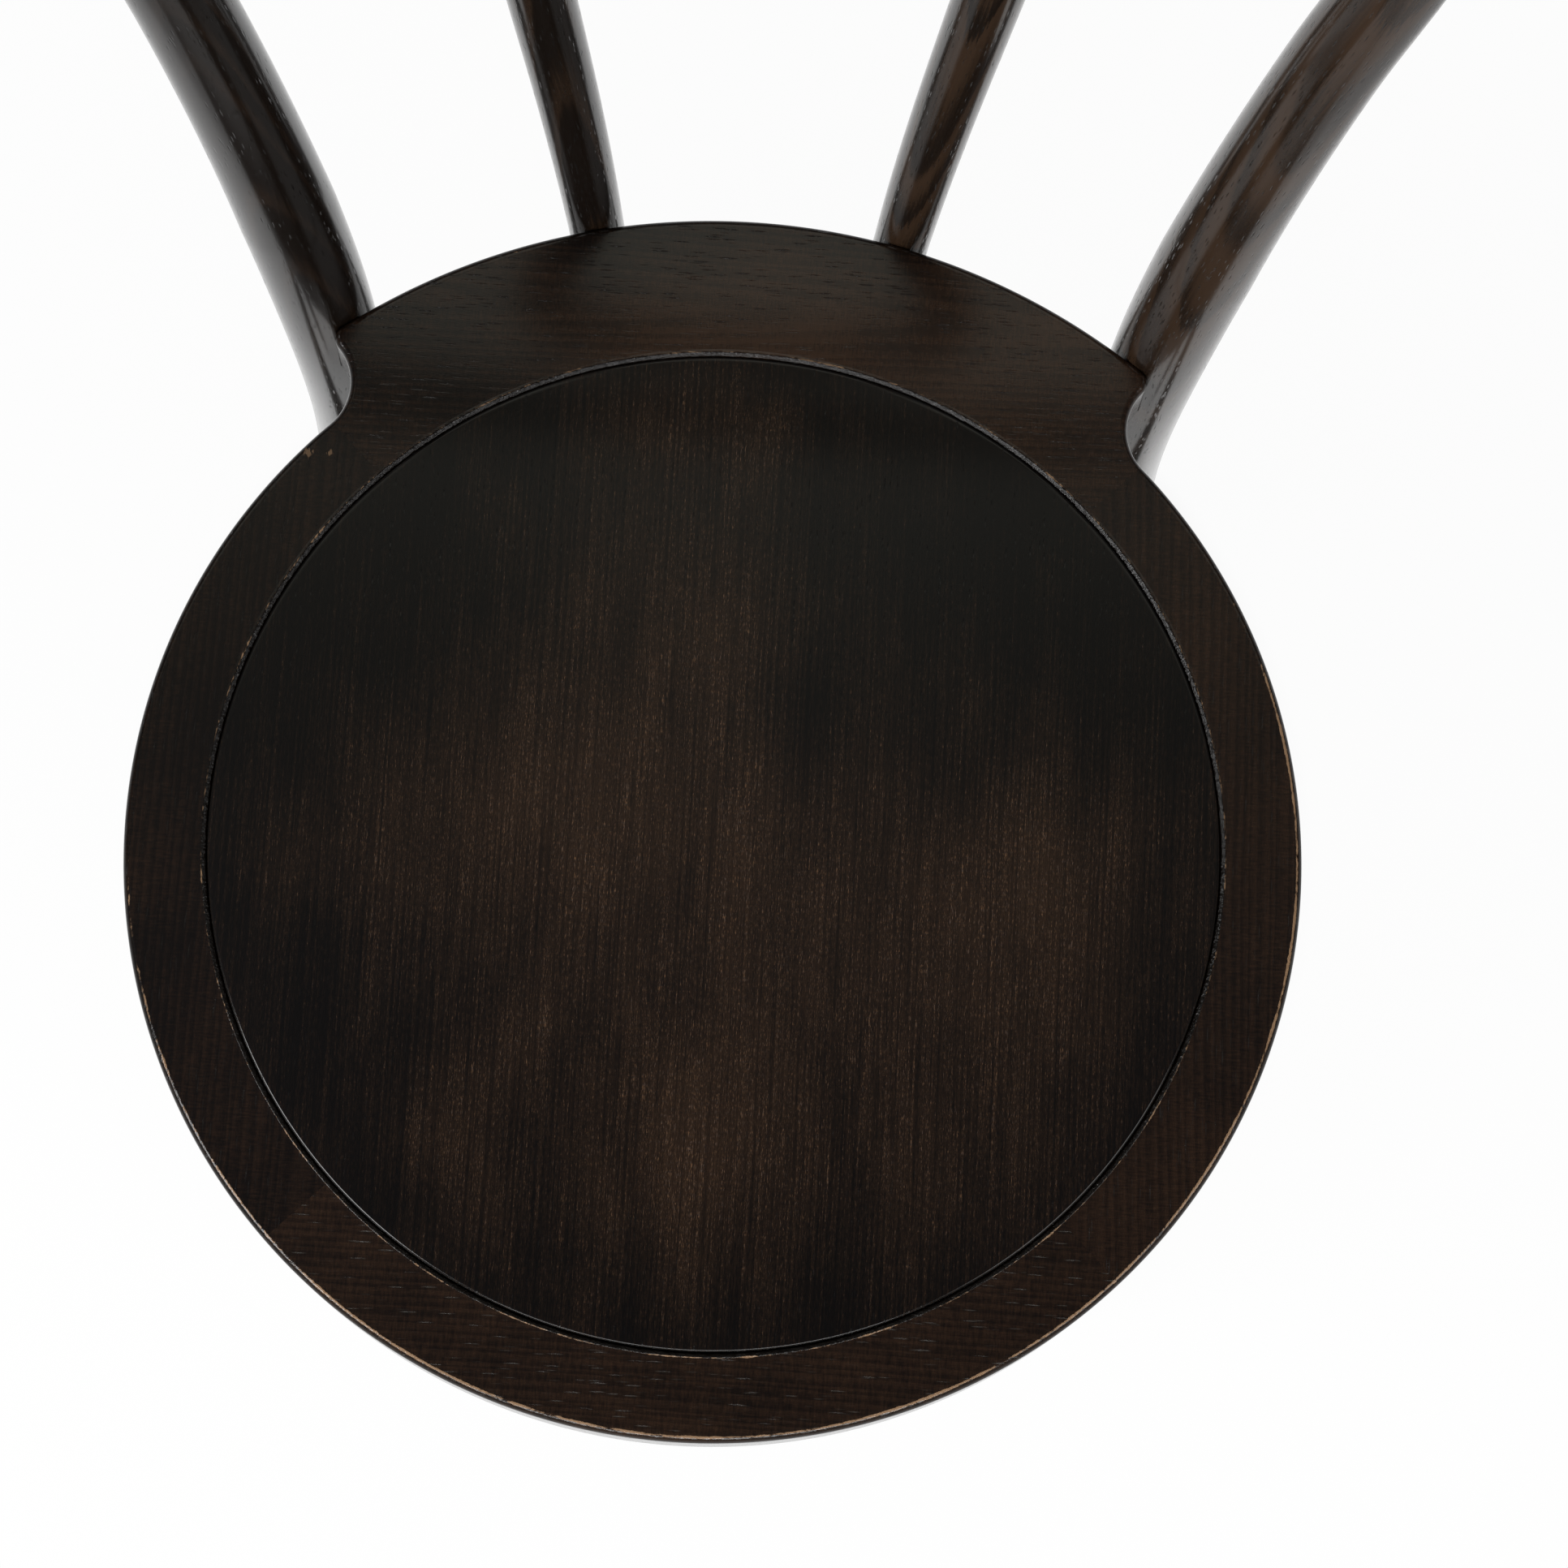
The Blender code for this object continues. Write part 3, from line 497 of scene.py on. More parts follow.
def arc(centre, radius, start, end, step, hollow=False):
    """Points and outward normals along an arc, without its last point."""
    count = max(2, ceil(abs(end - start) / step))
    turns = [start + (end - start) * i / count for i in range(count)]
    sign = -1 if hollow else 1
    return [(centre + polar(a) * radius, polar(a) * sign) for a in turns]


def shoulder_centre(notch):
    """Centre of the corner that touches the rear edge from inside and the notch from outside."""
    far = REAR_RADIUS - SHOULDER_RADIUS
    near = NOTCH_RADIUS + SHOULDER_RADIUS
    across = notch - REAR_CENTRE
    distance = np.linalg.norm(across)
    along_line = (far**2 - near**2 + distance**2) / (2 * distance)
    off_line = sqrt(far**2 - along_line**2)
    unit = across / distance
    return REAR_CENTRE + unit * along_line + np.array([-unit[1], unit[0]]) * off_line


def seat_outline():
    """Points, outward normals and bearings about the panel, all the way round from the front."""
    notch = RIM_CENTRE + polar(NOTCH_ANGLE) * (RIM_RADIUS + NOTCH_RADIUS)
    shoulder = shoulder_centre(notch)
    quarter = pi / 2
    notch_end = angle_of(shoulder - notch)
    shoulder_start = angle_of(notch - shoulder)
    rear_start = angle_of(shoulder - REAR_CENTRE)
    right = arc(RIM_CENTRE, RIM_RADIUS, -quarter, NOTCH_ANGLE, LONG_ARC_STEP)
    right += arc(notch, NOTCH_RADIUS, NOTCH_ANGLE + pi, notch_end, SHORT_ARC_STEP, hollow=True)
    right += arc(shoulder, SHOULDER_RADIUS, shoulder_start, rear_start, SHORT_ARC_STEP)
    right += arc(REAR_CENTRE, REAR_RADIUS, rear_start, quarter, LONG_ARC_STEP)
    right.append((REAR_CENTRE + np.array([0.0, REAR_RADIUS]), np.array([0.0, 1.0])))
    points = np.array([point for point, _ in right])
    normals = np.array([normal for _, normal in right])
    inner = points - normals * (EDGE_ROUND + EDGE_FLAT)
    bearings = np.maximum.accumulate(np.arctan2(inner[:, 1], inner[:, 0]))
    bearings[0], bearings[-1] = -quarter, quarter
    flip = np.array([-1.0, 1.0])
    points = np.concatenate([points, points[-2:0:-1] * flip])
    normals = np.concatenate([normals, normals[-2:0:-1] * flip])
    bearings = np.concatenate([bearings, pi - bearings[-2:0:-1]])
    return points, normals, bearings


# Rods


def hermite(start, end, start_slope, end_slope, t, span):
    """Cubic from start to end over a span, with the slopes given at both, where t is the share done."""
    return (
        start * (2 * t**3 - 3 * t**2 + 1)
        + start_slope * span * (t**3 - 2 * t**2 + t)
        + end * (3 * t**2 - 2 * t**3)
        + end_slope * span * (t**3 - t**2)
    )


def through(knots, z):
    """Point of a rod at a height. Each knot is (height, x, y, outward slope, backward slope)."""
    pairs = list(zip(knots, knots[1:]))
    low, high = next((pair for pair in pairs if z < pair[1][0]), pairs[-1])
    span = high[0] - low[0]
    share = (z - low[0]) / span
    x = hermite(low[1], high[1], low[3], high[3], share, span)
    y = hermite(low[2], high[2], low[4], high[4], share, span)
    return x, y, z


def rear_joint(angle, radius):
    """Axis of a rod that lies against the rear edge, on the right."""
    outward = np.array([sin(angle), cos(angle)])
    return REAR_CENTRE + outward * (REAR_RADIUS + radius - HOUSING)


def bow_radius(z):
    peak = SEAT_HEIGHT + BOW_PEAK_ABOVE
    top = SEAT_HEIGHT + BOW_WIDEST_ABOVE + BOW_RISE
    below = BOW_FOOT_RADIUS + (BOW_PEAK_RADIUS - BOW_FOOT_RADIUS) * z / peak
    left = np.clip((top - z) / (top - peak), 0.0, 1.0)
    above = BOW_TOP_RADIUS + (BOW_PEAK_RADIUS - BOW_TOP_RADIUS) * left**BOW_THINNING
    swell = BOW_JOINT_SWELL * np.exp(-(((z - SEAT_HEIGHT) / BOW_SWELL_REACH) ** 2))
    return np.where(z < peak, below, above) + swell


def bow_knots():
    """The right half of the bow: foot, rim joint, knee and widest place."""
    x, y = rear_joint(BOW_ANGLE, bow_radius(RIM_MIDDLE) - BOW_JOINT_SWELL)
    knee = SEAT_HEIGHT + BOW_KNEE_ABOVE
    knee_y = y + BOW_KNEE_BACK
    widest = SEAT_HEIGHT + BOW_WIDEST_ABOVE
    widest_y = knee_y + BOW_LEAN * (widest - knee)
    return [
        (FOOT_LEVEL, x + BOW_FOOT_SPREAD, y + BOW_FOOT_BACK, -BOW_FOOT_FLARE, -BOW_FOOT_RAKE),
        (RIM_MIDDLE, x, y, BOW_JOINT_FLARE, BOW_JOINT_LEAN),
        (knee, x + BOW_KNEE_SPREAD, knee_y, BOW_KNEE_FLARE, BOW_LEAN),
        (widest, BOW_HALF_WIDTH, widest_y, 0.0, BOW_LEAN),
    ]


def hoop_radius(z):
    share = np.clip((z - RIM_MIDDLE) / (SEAT_HEIGHT + HOOP_FULL_ABOVE - RIM_MIDDLE), 0.0, 1.0)
    return HOOP_FOOT_RADIUS + (HOOP_FULL_RADIUS - HOOP_FOOT_RADIUS) * share


def hoop_knots():
    """The right half of the hoop: end, rim joint, knee and widest place."""
    x, y = rear_joint(HOOP_ANGLE, HOOP_FOOT_RADIUS)
    end = RIM_BOTTOM + HOOP_END_ABOVE
    below = RIM_MIDDLE - end
    end_x = x - HOOP_JOINT_FLARE * below
    end_y = y - HOOP_JOINT_LEAN * below
    knee = SEAT_HEIGHT + HOOP_KNEE_ABOVE
    widest = SEAT_HEIGHT + HOOP_WIDEST_ABOVE
    return [
        (end, end_x, end_y, HOOP_JOINT_FLARE, HOOP_JOINT_LEAN),
        (RIM_MIDDLE, x, y, HOOP_JOINT_FLARE, HOOP_JOINT_LEAN),
        (knee, x + HOOP_KNEE_SPREAD, y + HOOP_KNEE_BACK, HOOP_KNEE_FLARE, HOOP_KNEE_LEAN),
        (widest, HOOP_HALF_WIDTH, y + HOOP_WIDEST_BACK, 0.0, HOOP_TOP_LEAN),
    ]


def lengths_along(line):
    return np.concatenate([[0.0], np.cumsum(np.linalg.norm(np.diff(line, axis=0), axis=1))])


def rod_line(knots, rise, steps):
    """Axis of a rod from its right end, through the knots and over an arch, to its left end, in
    even steps."""
    shares = np.linspace(0.0, 1.0, LINE_POINTS)
    low = knots[0][0]
    widest, half_width, widest_y, _, lean = knots[-1]
    rising = np.array([through(knots, low + (widest - low) * share) for share in shares])
    turns = shares[1:] * pi / 2
    up = rise * np.sin(turns)
    arch = np.stack([half_width * np.cos(turns), widest_y + lean * up, widest + up], axis=1)
    right = np.concatenate([rising, arch])
    left = right[-2::-1] * np.array([-1.0, 1.0, 1.0])
    line = np.concatenate([right, left])
    lengths = lengths_along(line)
    wanted = np.linspace(0.0, lengths[-1], steps + 1)
    return np.stack([np.interp(wanted, lengths, c) for c in line.T], axis=1)


def line_frame(line):
    """Directions along, across and behind a line that never runs front to back."""
    ahead = np.gradient(line, axis=0)
    ahead /= np.linalg.norm(ahead, axis=1, keepdims=True)
    back = np.array([0.0, 1.0, 0.0]) - ahead * ahead[:, 1:2]
    back /= np.linalg.norm(back, axis=1, keepdims=True)
    return ahead, np.cross(ahead, back), back


def rod(name, line, radius_at):
    """A round rod along a line. Its ends are cut level."""
    ahead, across, back = line_frame(line)
    turns = full_turn(ROD_SIDES)[None, :, None]
    radius = radius_at(line[:, 2])[:, None, None]
    offset = across[:, None] * np.cos(turns) + back[:, None] * np.sin(turns)
    rings = line[:, None] + offset * radius
    for end in (0, -1):
        level = (line[end, 2] - rings[end, :, 2]) / ahead[end, 2]
        rings[end] += ahead[end] * level[:, None]
    return skin(name, rings)


def leg_axis(side, z):
    share = (RIM_BOTTOM - z) / (RIM_BOTTOM - FOOT_LEVEL)
    distance = RIM_RADIUS - LEG_INSET + LEG_SPLAY * share
    return np.array([side * distance * cos(LEG_ANGLE), -distance * sin(LEG_ANGLE), z])


def leg_radius(z):
    full = RIM_BOTTOM - LEG_FULL_BELOW
    if z > full:
        share = (RIM_BOTTOM - z) / LEG_FULL_BELOW
        return hermite(LEG_TOP_RADIUS, LEG_FULL_RADIUS, 0.0, 0.0, share, 1.0)
    share = (full - z) / (full - FOOT_LEVEL)
    return LEG_FULL_RADIUS + (LEG_FOOT_RADIUS - LEG_FULL_RADIUS) * share


def ring_circle():
    """Centre and radius of the axis of the ring, which lies against the inside of all four legs."""
    front = leg_axis(1, RING_HEIGHT)
    rear = through(bow_knots(), RING_HEIGHT)
    low, high = front[1], rear[1]
    for _ in range(RING_HALVINGS):
        centre = (low + high) / 2
        inside_front = hypot(front[0], front[1] - centre) - leg_radius(RING_HEIGHT)
        inside_rear = hypot(rear[0], rear[1] - centre) - bow_radius(RING_HEIGHT)
        if inside_front > inside_rear:
            high = centre
        else:
            low = centre
    return np.array([0.0, centre]), inside_front + HOUSING - RING_ROD_RADIUS


# How the grain runs: across, behind and along the stick before it was bent, from its pith


def grain_on_line(obj, line, pith):
    """Grain of a bent rod: each point is set against the nearest place on the rod's axis."""
    ahead, across, back = line_frame(line)
    tree = tree_of(line)
    points = points_of(obj)
    near = np.array([tree.find(point)[1] for point in points])
    offset = points - line[near]
    shifts = (*pith, lengths_along(line)[near])
    parts = zip((across, back, ahead), shifts)
    grain = [np.sum(offset * unit[near], axis=1) + shift for unit, shift in parts]
    store(obj, "grain", np.stack(grain, axis=1))


def grain_straight(obj, axes, pith):
    """Grain of a sawn piece, where pith is the place of the log's heart from the piece's top middle."""
    points = points_of(obj) - np.array([0.0, 0.0, RIM_TOP])
    store(obj, "grain", points[:, axes] + np.array(pith))


def mottle(obj, base, patches):
    """How light each point is, from a base level and some soft patches: stain on the panel, and stain
    with some painted shade on the rim.
    """
    points = points_of(obj)
    tone = np.full(len(points), base)
    for x, y, wide, long, amount in patches:
        tone += amount * np.exp(-(((points[:, 0] - x) / wide) ** 2) - ((points[:, 1] - y) / long) ** 2)
    return tone


def tone_with_side_light(points, base, rise, reach):
    """How light a bent rod is: a base level of stain, with painted shade on its left half and painted
    light on its right half.
    """
    return rise * np.tanh(points[:, 0] / reach) + base


# Materials


class Value:
    """An output of a node. A sum with it adds a node for that sum."""

    def __init__(self, tree, socket):
        self.tree = tree
        self.socket = socket

    def __add__(self, other):
        return self.tree.sum("ADD", self, other)

    def __sub__(self, other):
        return self.tree.sum("SUBTRACT", self, other)

    def __mul__(self, other):
        return self.tree.sum("MULTIPLY", self, other)


class Tree:
    """Nodes of a material or a world. Each call adds a node and returns its output."""

    def __init__(self, owner):
        owner.use_nodes = True
        self.owner = owner
        self.nodes = owner.node_tree.nodes
        self.links = owner.node_tree.links

    def add(self, kind, inputs, output=0, **settings):
        node = self.nodes.new("ShaderNode" + kind)
        for name, value in settings.items():
            setattr(node, name, value)
        self.fill(node, inputs)
        return Value(self, node.outputs[output])

    def fill(self, node, inputs):
        """Links each output to its socket, and writes each plain value or colour on its own."""
        for name, value in inputs.items():
            socket = node.inputs[name]
            if isinstance(value, Value):
                self.links.new(value.socket, socket)
            else:
                socket.default_value = (*value, 1.0) if socket.type == "RGBA" else value

    def surface(self, inputs):
        self.fill(self.nodes["Principled BSDF"], inputs)
        return self.owner

    def attribute(self, name, output="Fac"):
        return self.add("Attribute", {}, output, attribute_name=name)

    def sum(self, operation, first, second=0.0):
        return self.add("Math", {0: first, 1: second}, operation=operation)

    def vector(self, operation, first, second=(0.0, 0.0, 0.0), output=0):
        return self.add("VectorMath", {0: first, 1: second}, output, operation=operation)

    def stretch(self, vector, sizes):
        """Coordinates in which a pattern has these sizes along x, y and z."""
        return self.vector("MULTIPLY", vector, tuple(1 / size for size in sizes))

    def noise(self, vector, sizes, detail=2.0, rough=0.5, output="Fac"):
        place = self.stretch(vector, sizes)
        inputs = {"Vector": place, "Scale": 1.0, "Detail": detail, "Roughness": rough}
        return self.add("TexNoise", inputs, output)

    def ramp(self, value, low, high, to_low=0.0, to_high=1.0):
        inputs = {"Value": value, "From Min": low, "From Max": high, "To Min": to_low, "To Max": to_high}
        return self.add("MapRange", inputs, interpolation_type="SMOOTHSTEP")

    def mix(self, factor, first, second):
        return self.add("Mix", {0: factor, 6: first, 7: second}, 2, data_type="RGBA")

    def bump(self, height, distance):
        return self.add("Bump", {"Height": height, "Distance": distance, "Strength": 1.0})


def wood(name):
    """Dark stained ash under satin lacquer, with its growth rings, fibres, stain clouds and pores.

    Patterns run from 0 to 1. The two numbers of a ramp say where it is empty and where it is full."""
    look = {word: values[WOODS.index(name)] for word, values in LOOKS.items()}
    t = Tree(bpy.data.materials.new(name))
    grain = t.attribute("grain", "Vector")
    edge = t.attribute("edge")

    # The rings wander slowly along the stick, and run out of it at a slope
    wander = t.noise(grain, WANDER_SIZE, output="Color")
    wander = t.vector("SUBTRACT", wander, (0.5, 0.5, 0.5))
    wander = t.vector("MULTIPLY", wander, (look["wander"], look["wander"], 0.0))
    bent = t.vector("ADD", grain, wander)
    flat = t.vector("MULTIPLY", bent, (1.0, 1.0, 0.0))
    from_pith = t.vector("LENGTH", flat, output="Value")
    from_pith += t.add("SeparateXYZ", {"Vector": grain}, "Z") * look["run_out"]
    streak = t.noise(bent, STREAK_SIZE, 3.0, 0.65)
    from_pith += streak * STREAK_SHIFT
    turns = t.sum("DIVIDE", from_pith, look["ring_width"])
    uneven = {"W": turns * RING_CHANGE, "Scale": 1.0, "Detail": 1.0}
    uneven = t.add("TexNoise", uneven, "Fac", noise_dimensions="1D")
    ring = t.sum("FRACT", turns + uneven * RING_UNEVEN)
    early = t.ramp(ring, 0.45, 0.05)
    late = t.ramp(ring, 0.05, 0.75) * t.ramp(ring, 1.0, 0.82)

    # Stain: clouds, rings, long streaks, fibres and rays, on the tone of each point, which also holds
    # painted light and shade
    cloud = t.noise(bent, look["cloud_size"], 3.0, 0.55)
    fibre = t.noise(bent, FIBRE_SIZE, 2.0, 0.65)
    rays = t.noise(bent, RAY_SIZE, 1.0)
    depth = t.attribute("tone") + 0.5
    layers = {"cloud": cloud, "ring": late, "streak": streak, "fibre": fibre, "ray": rays}
    for word, layer in layers.items():
        depth += (layer - 0.5) * look[word + "_gain"]
    stain_and_shade = t.mix(t.ramp(depth, 0.05, 1.05), look["dark"], look["light"])

    # Light ticks where the stain missed a fibre, in rows
    specks = t.noise(bent, SPECK_SIZE, 2.0, 0.6)
    rows = t.ramp(streak, 0.36, 0.62) * t.ramp(depth, 0.20, 0.90)
    ticks = t.ramp(specks, 0.53, 0.69) * rows
    tick = t.mix(t.ramp(rays, 0.35, 0.65), look["tick_pale"], look["tick"])
    stain_and_shade = t.mix(ticks * look["tick_share"], stain_and_shade, tick)

    # Open pores, most of them in the early wood
    cells = {"Vector": t.stretch(bent, look["pore_size"]), "Scale": 1.0, "Randomness": 1.0}
    pores = t.ramp(t.add("TexVoronoi", cells, "Distance"), 0.32, 0.06)
    pores *= t.ramp(early, 0.0, 0.8, t.attribute("open") + look["pore_least"], 1.0)
    pores *= t.ramp(specks, 0.34, 0.52)
    filled = t.mix(t.attribute("pale"), look["pore"], look["pore_pale"])
    stain_and_shade = t.mix(pores * look["pore_share"], stain_and_shade, filled)

    # Wear along the edges, in short stretches, and single chips
    chips = t.noise(grain, CHIP_SIZE, 2.0, 0.6)
    ragged = (chips - 0.5) * WORN_RAGGED
    broken = t.noise(grain, WORN_SIZE) - 0.5 + ragged
    wear = t.ramp(edge + broken, 0.62, 0.86) * t.ramp(edge, 0.02, 0.20)
    for place, size in look["chips"]:
        away = t.vector("DISTANCE", grain, place, "Value") - ragged * (CHIP_RAGGED * size)
        wear = t.sum("MAXIMUM", wear, t.ramp(away, size, CHIP_CORE * size, 0.0, CHIP_WEAR))
    stain_and_shade = t.mix(wear * WORN_COVER, stain_and_shade, look["rubbed"])

    # Relief of fibres, nicks along the edges, lumps of lacquer in the groove, and pores
    lumps = t.noise(grain, LUMP_SIZE, 3.0, 0.7) * t.attribute("groove")
    height = fibre * FIBRE_HEIGHT + edge * chips * look["nicks"] + lumps * LUMP_HEIGHT - pores
    relief = t.bump(height, look["relief"])
    return t.surface(
        {
            "Base Color": stain_and_shade,
            "Roughness": pores * 0.3 + 0.40,
            "IOR": 1.5,
            "Specular IOR Level": 0.05,
            "Coat Weight": 1.0,
            "Coat Roughness": look["coat_rough"],
            "Normal": relief,
            "Coat Normal": relief,
        }
    )


def steel():
    """Zinc-plated steel with a faint turned grain."""
    t = Tree(bpy.data.materials.new("plated_steel"))
    spots = t.noise(t.add("TexCoord", {}, "Object"), SPOT_SIZE, 4.0, 0.6)
    paint = t.mix(spots, (0.46, 0.45, 0.43), (0.62, 0.61, 0.58))
    rough = t.ramp(spots, 0.3, 0.7, 0.24, 0.42)
    return t.surface({"Base Color": paint, "Metallic": 1.0, "Roughness": rough})


def plastic():
    """Black moulded plastic, scuffed underneath."""
    t = Tree(bpy.data.materials.new("glide_black"))
    place = t.add("TexCoord", {}, "Object")
    scuffs = t.noise(place, SCUFF_SIZE, 4.0, 0.7)
    paint = t.mix(t.ramp(scuffs, 0.5, 0.8), (0.020, 0.019, 0.018), (0.075, 0.070, 0.065))
    rough = t.ramp(scuffs, 0.3, 0.8, 0.42, 0.62)
    pits = t.bump(t.noise(place, PIT_SIZE), PIT_DEPTH)
    return t.surface({"Base Color": paint, "Roughness": rough, "Normal": pits})


def bare_wood():
    """Unfinished beech, for the tongues inside the mitres."""
    t = Tree(bpy.data.materials.new("bare_beech"))
    lines = t.noise(t.add("TexCoord", {}, "Object"), BEECH_SIZE, 3.0, 0.6)
    paint = t.mix(lines, (0.36, 0.21, 0.10), (0.58, 0.40, 0.23))
    rough = t.ramp(lines, 0.2, 0.8, 0.62, 0.78)
    return t.surface({"Base Color": paint, "Roughness": rough, "Normal": t.bump(lines, BEECH_DEPTH)})


# Fasteners as the frame has them, in the drawing's own place


def axis_of(node):
    """Head end, direction, length and widest radius of a screw or bolt."""
    points = points_of(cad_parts[node]) - np.array(PANEL_CENTRE)
    middle = points.mean(axis=0)
    offset = points - middle
    ahead = np.linalg.svd(offset, full_matrices=False)[2][0]
    reach = offset @ ahead
    off = np.linalg.norm(offset - np.outer(reach, ahead), axis=1)
    if reach[np.argmax(off)] > (reach.min() + reach.max()) / 2:
        ahead, reach = -ahead, -reach
    start = middle + ahead * reach.min()
    return Vector(start), Vector(ahead), float(np.ptp(reach)), float(off.max())


def slotted_screw(node, material):
    """A countersunk wood screw with a slot. Returns the hole that it needs."""
    start, ahead, length, radius = axis_of(node)
    place = along(start, ahead)
    shank = radius * SCREW_SHANK
    cone = radius * SCREW_CONE
    profile = [
        (radius * SCREW_FACE, 0.0),
        (radius, SCREW_EDGE),
        (shank, cone),
        (shank, length * SCREW_STRAIGHT),
        (shank * SCREW_POINT, length),
    ]
    screw = turned(node + "_slotted", profile, place)
    half = Vector((radius * SLOT_LENGTH / 2, SLOT_WIDTH / 2, SLOT_DEPTH))
    slot = [[place @ (half * Vector((x, y, z))) for x, y in CORNERS] for z in (-1, 1)]
    cut(screw, skin("slot", slot))
    finish_piece(screw, material, "zinc_steel", node)
    hole = [
        (radius + GAP, -radius * SCREW_MOUTH),
        (radius + GAP, GAP),
        (shank + GAP, cone + GAP),
        (shank + GAP, length),
    ]
    return turned(node + "_hole", hole, place)


# Pieces


def build_rim():
    """The four segments of the rim, cut on the diagonals from one ring."""
    points, normals, bearings = seat_outline()
    bends = np.linspace(pi / 2, 0.0, ROUND_STEPS)
    top = [(EDGE_ROUND * (1 - cos(a)), RIM_TOP - EDGE_ROUND * (1 - sin(a))) for a in bends]
    edge = [(EDGE_ROUND + EDGE_FLAT, RIM_TOP), (EDGE_ROUND + EDGE_FLAT / 3, RIM_TOP)] + top
    edge += [(inset, RIM_TOP + RIM_BOTTOM - z) for inset, z in reversed(top)]
    eased = [(LIP_RADIUS - RIM_EASE * inward, RIM_TOP - RIM_EASE * down) for inward, down in EASE_SHARES]
    inside = [
        (LEDGE_RADIUS, RIM_BOTTOM),
        (LEDGE_RADIUS, PANEL_BOTTOM - GAP),
        (OPENING_RADIUS, PANEL_BOTTOM - GAP),
        *eased,
        (LIP_RADIUS, RIM_TOP),
        (LIP_RADIUS + RIM_LIP, RIM_TOP),
    ]
    out = np.stack([np.cos(bearings), np.sin(bearings)], axis=1)
    levels = [(points - normals * inset, z) for inset, z in edge]
    levels += [(out * radius, z) for radius, z in inside]
    rings = np.stack([np.insert(flat, 2, z, axis=1) for flat, z in levels], axis=1)
    segments = {}
    for index, name in enumerate(RIM_SEGMENTS):
        segment = skin(name + "_fine", rings, joined=True)
        work = bmesh.new()
        work.from_mesh(segment.data)
        for turn in (-1, 1):
            inward = polar(index * pi / 2 - turn * pi / 4)
            plane = Vector((*inward, 0.0))
            geometry = work.verts[:] + work.edges[:] + work.faces[:]
            bmesh.ops.bisect_plane(
                work, geom=geometry, plane_co=plane * MITRE_GAP / 2, plane_no=-plane, clear_outer=True
            )
            open_edges = [e for e in work.edges if e.is_boundary]
            bmesh.ops.holes_fill(work, edges=open_edges)
        bmesh.ops.recalc_face_normals(work, faces=work.faces)
        work.to_mesh(segment.data)
        work.free()
        segments[name] = segment
    return segments


def rim_edges(obj):
    """How worn each point of the rim is: along its top edge, most in front and on the right, and on
    the lip of the groove."""
    points = points_of(obj)
    outline, _, _ = seat_outline()
    tree = tree_of([(*point, 0.0) for point in outline])
    inset = np.array([tree.find((x, y, 0.0))[2] for x, y, _ in points])
    x, y, z = points.T
    on_top = smooth(*WORN_DROP, RIM_TOP - z)
    outer = smooth(*WORN_WIDTH, np.abs(inset - WORN_INSET)) * on_top
    front = smooth(*WORN_FRONT, y - WORN_SLANT * x)
    right = smooth(*WORN_RIGHT_X, x) * smooth(*WORN_RIGHT_Y, y)
    outer *= np.maximum(WORN_LEAST + WORN_FRONT_MORE * front, WORN_RIGHT_MOST * right)
    lip = smooth(*LIP_WIDTH, np.abs(np.hypot(x, y) - LIP_RADIUS)) * on_top * WORN_LIP
    store(obj, "edge", np.maximum(outer, lip))


def finish_rim(segments, material, screw_holes):
    """Bores, grain and wear of the four segments."""
    for word in SIDES:
        cut(segments["rim_" + word], screw_holes["leg_lock_screw_" + word])
        low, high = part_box("barrel_nut_" + word)
        middle = box_middle("barrel_nut_" + word)
        radius = (high.x - low.x) / 2 + GAP
        below = NUT_BORE_REACH * (RIM_BOTTOM - middle.z)
        bore = [(radius, below), (radius, (high.z - low.z) / 2 + GAP)]
        cut(segments["rim_rear"], turned("nut_bore", bore, Matrix.Translation(middle)))
    for name, segment in segments.items():
        tone, paleness, axes, pith = RIM_SEGMENTS[name]
        grain_straight(segment, axes, pith)
        rim_edges(segment)
        points = points_of(segment)
        groove = smooth(0.0, GROOVE_START, LIP_RADIUS - np.hypot(points[:, 0], points[:, 1]))
        pale = np.full(len(points), paleness)
        store(segment, "groove", groove)
        store(segment, "pale", pale)
        store(segment, "open", RIM_OPEN * (1 - pale))
        # The tone is the stain, with painted shade near the hoop ends and in the groove
        store(segment, "tone", mottle(segment, tone, RIM_PATCHES_AND_SHADE) - GROOVE_SHADE * groove)
        finish_piece(segment, material, "rim_wood", name)


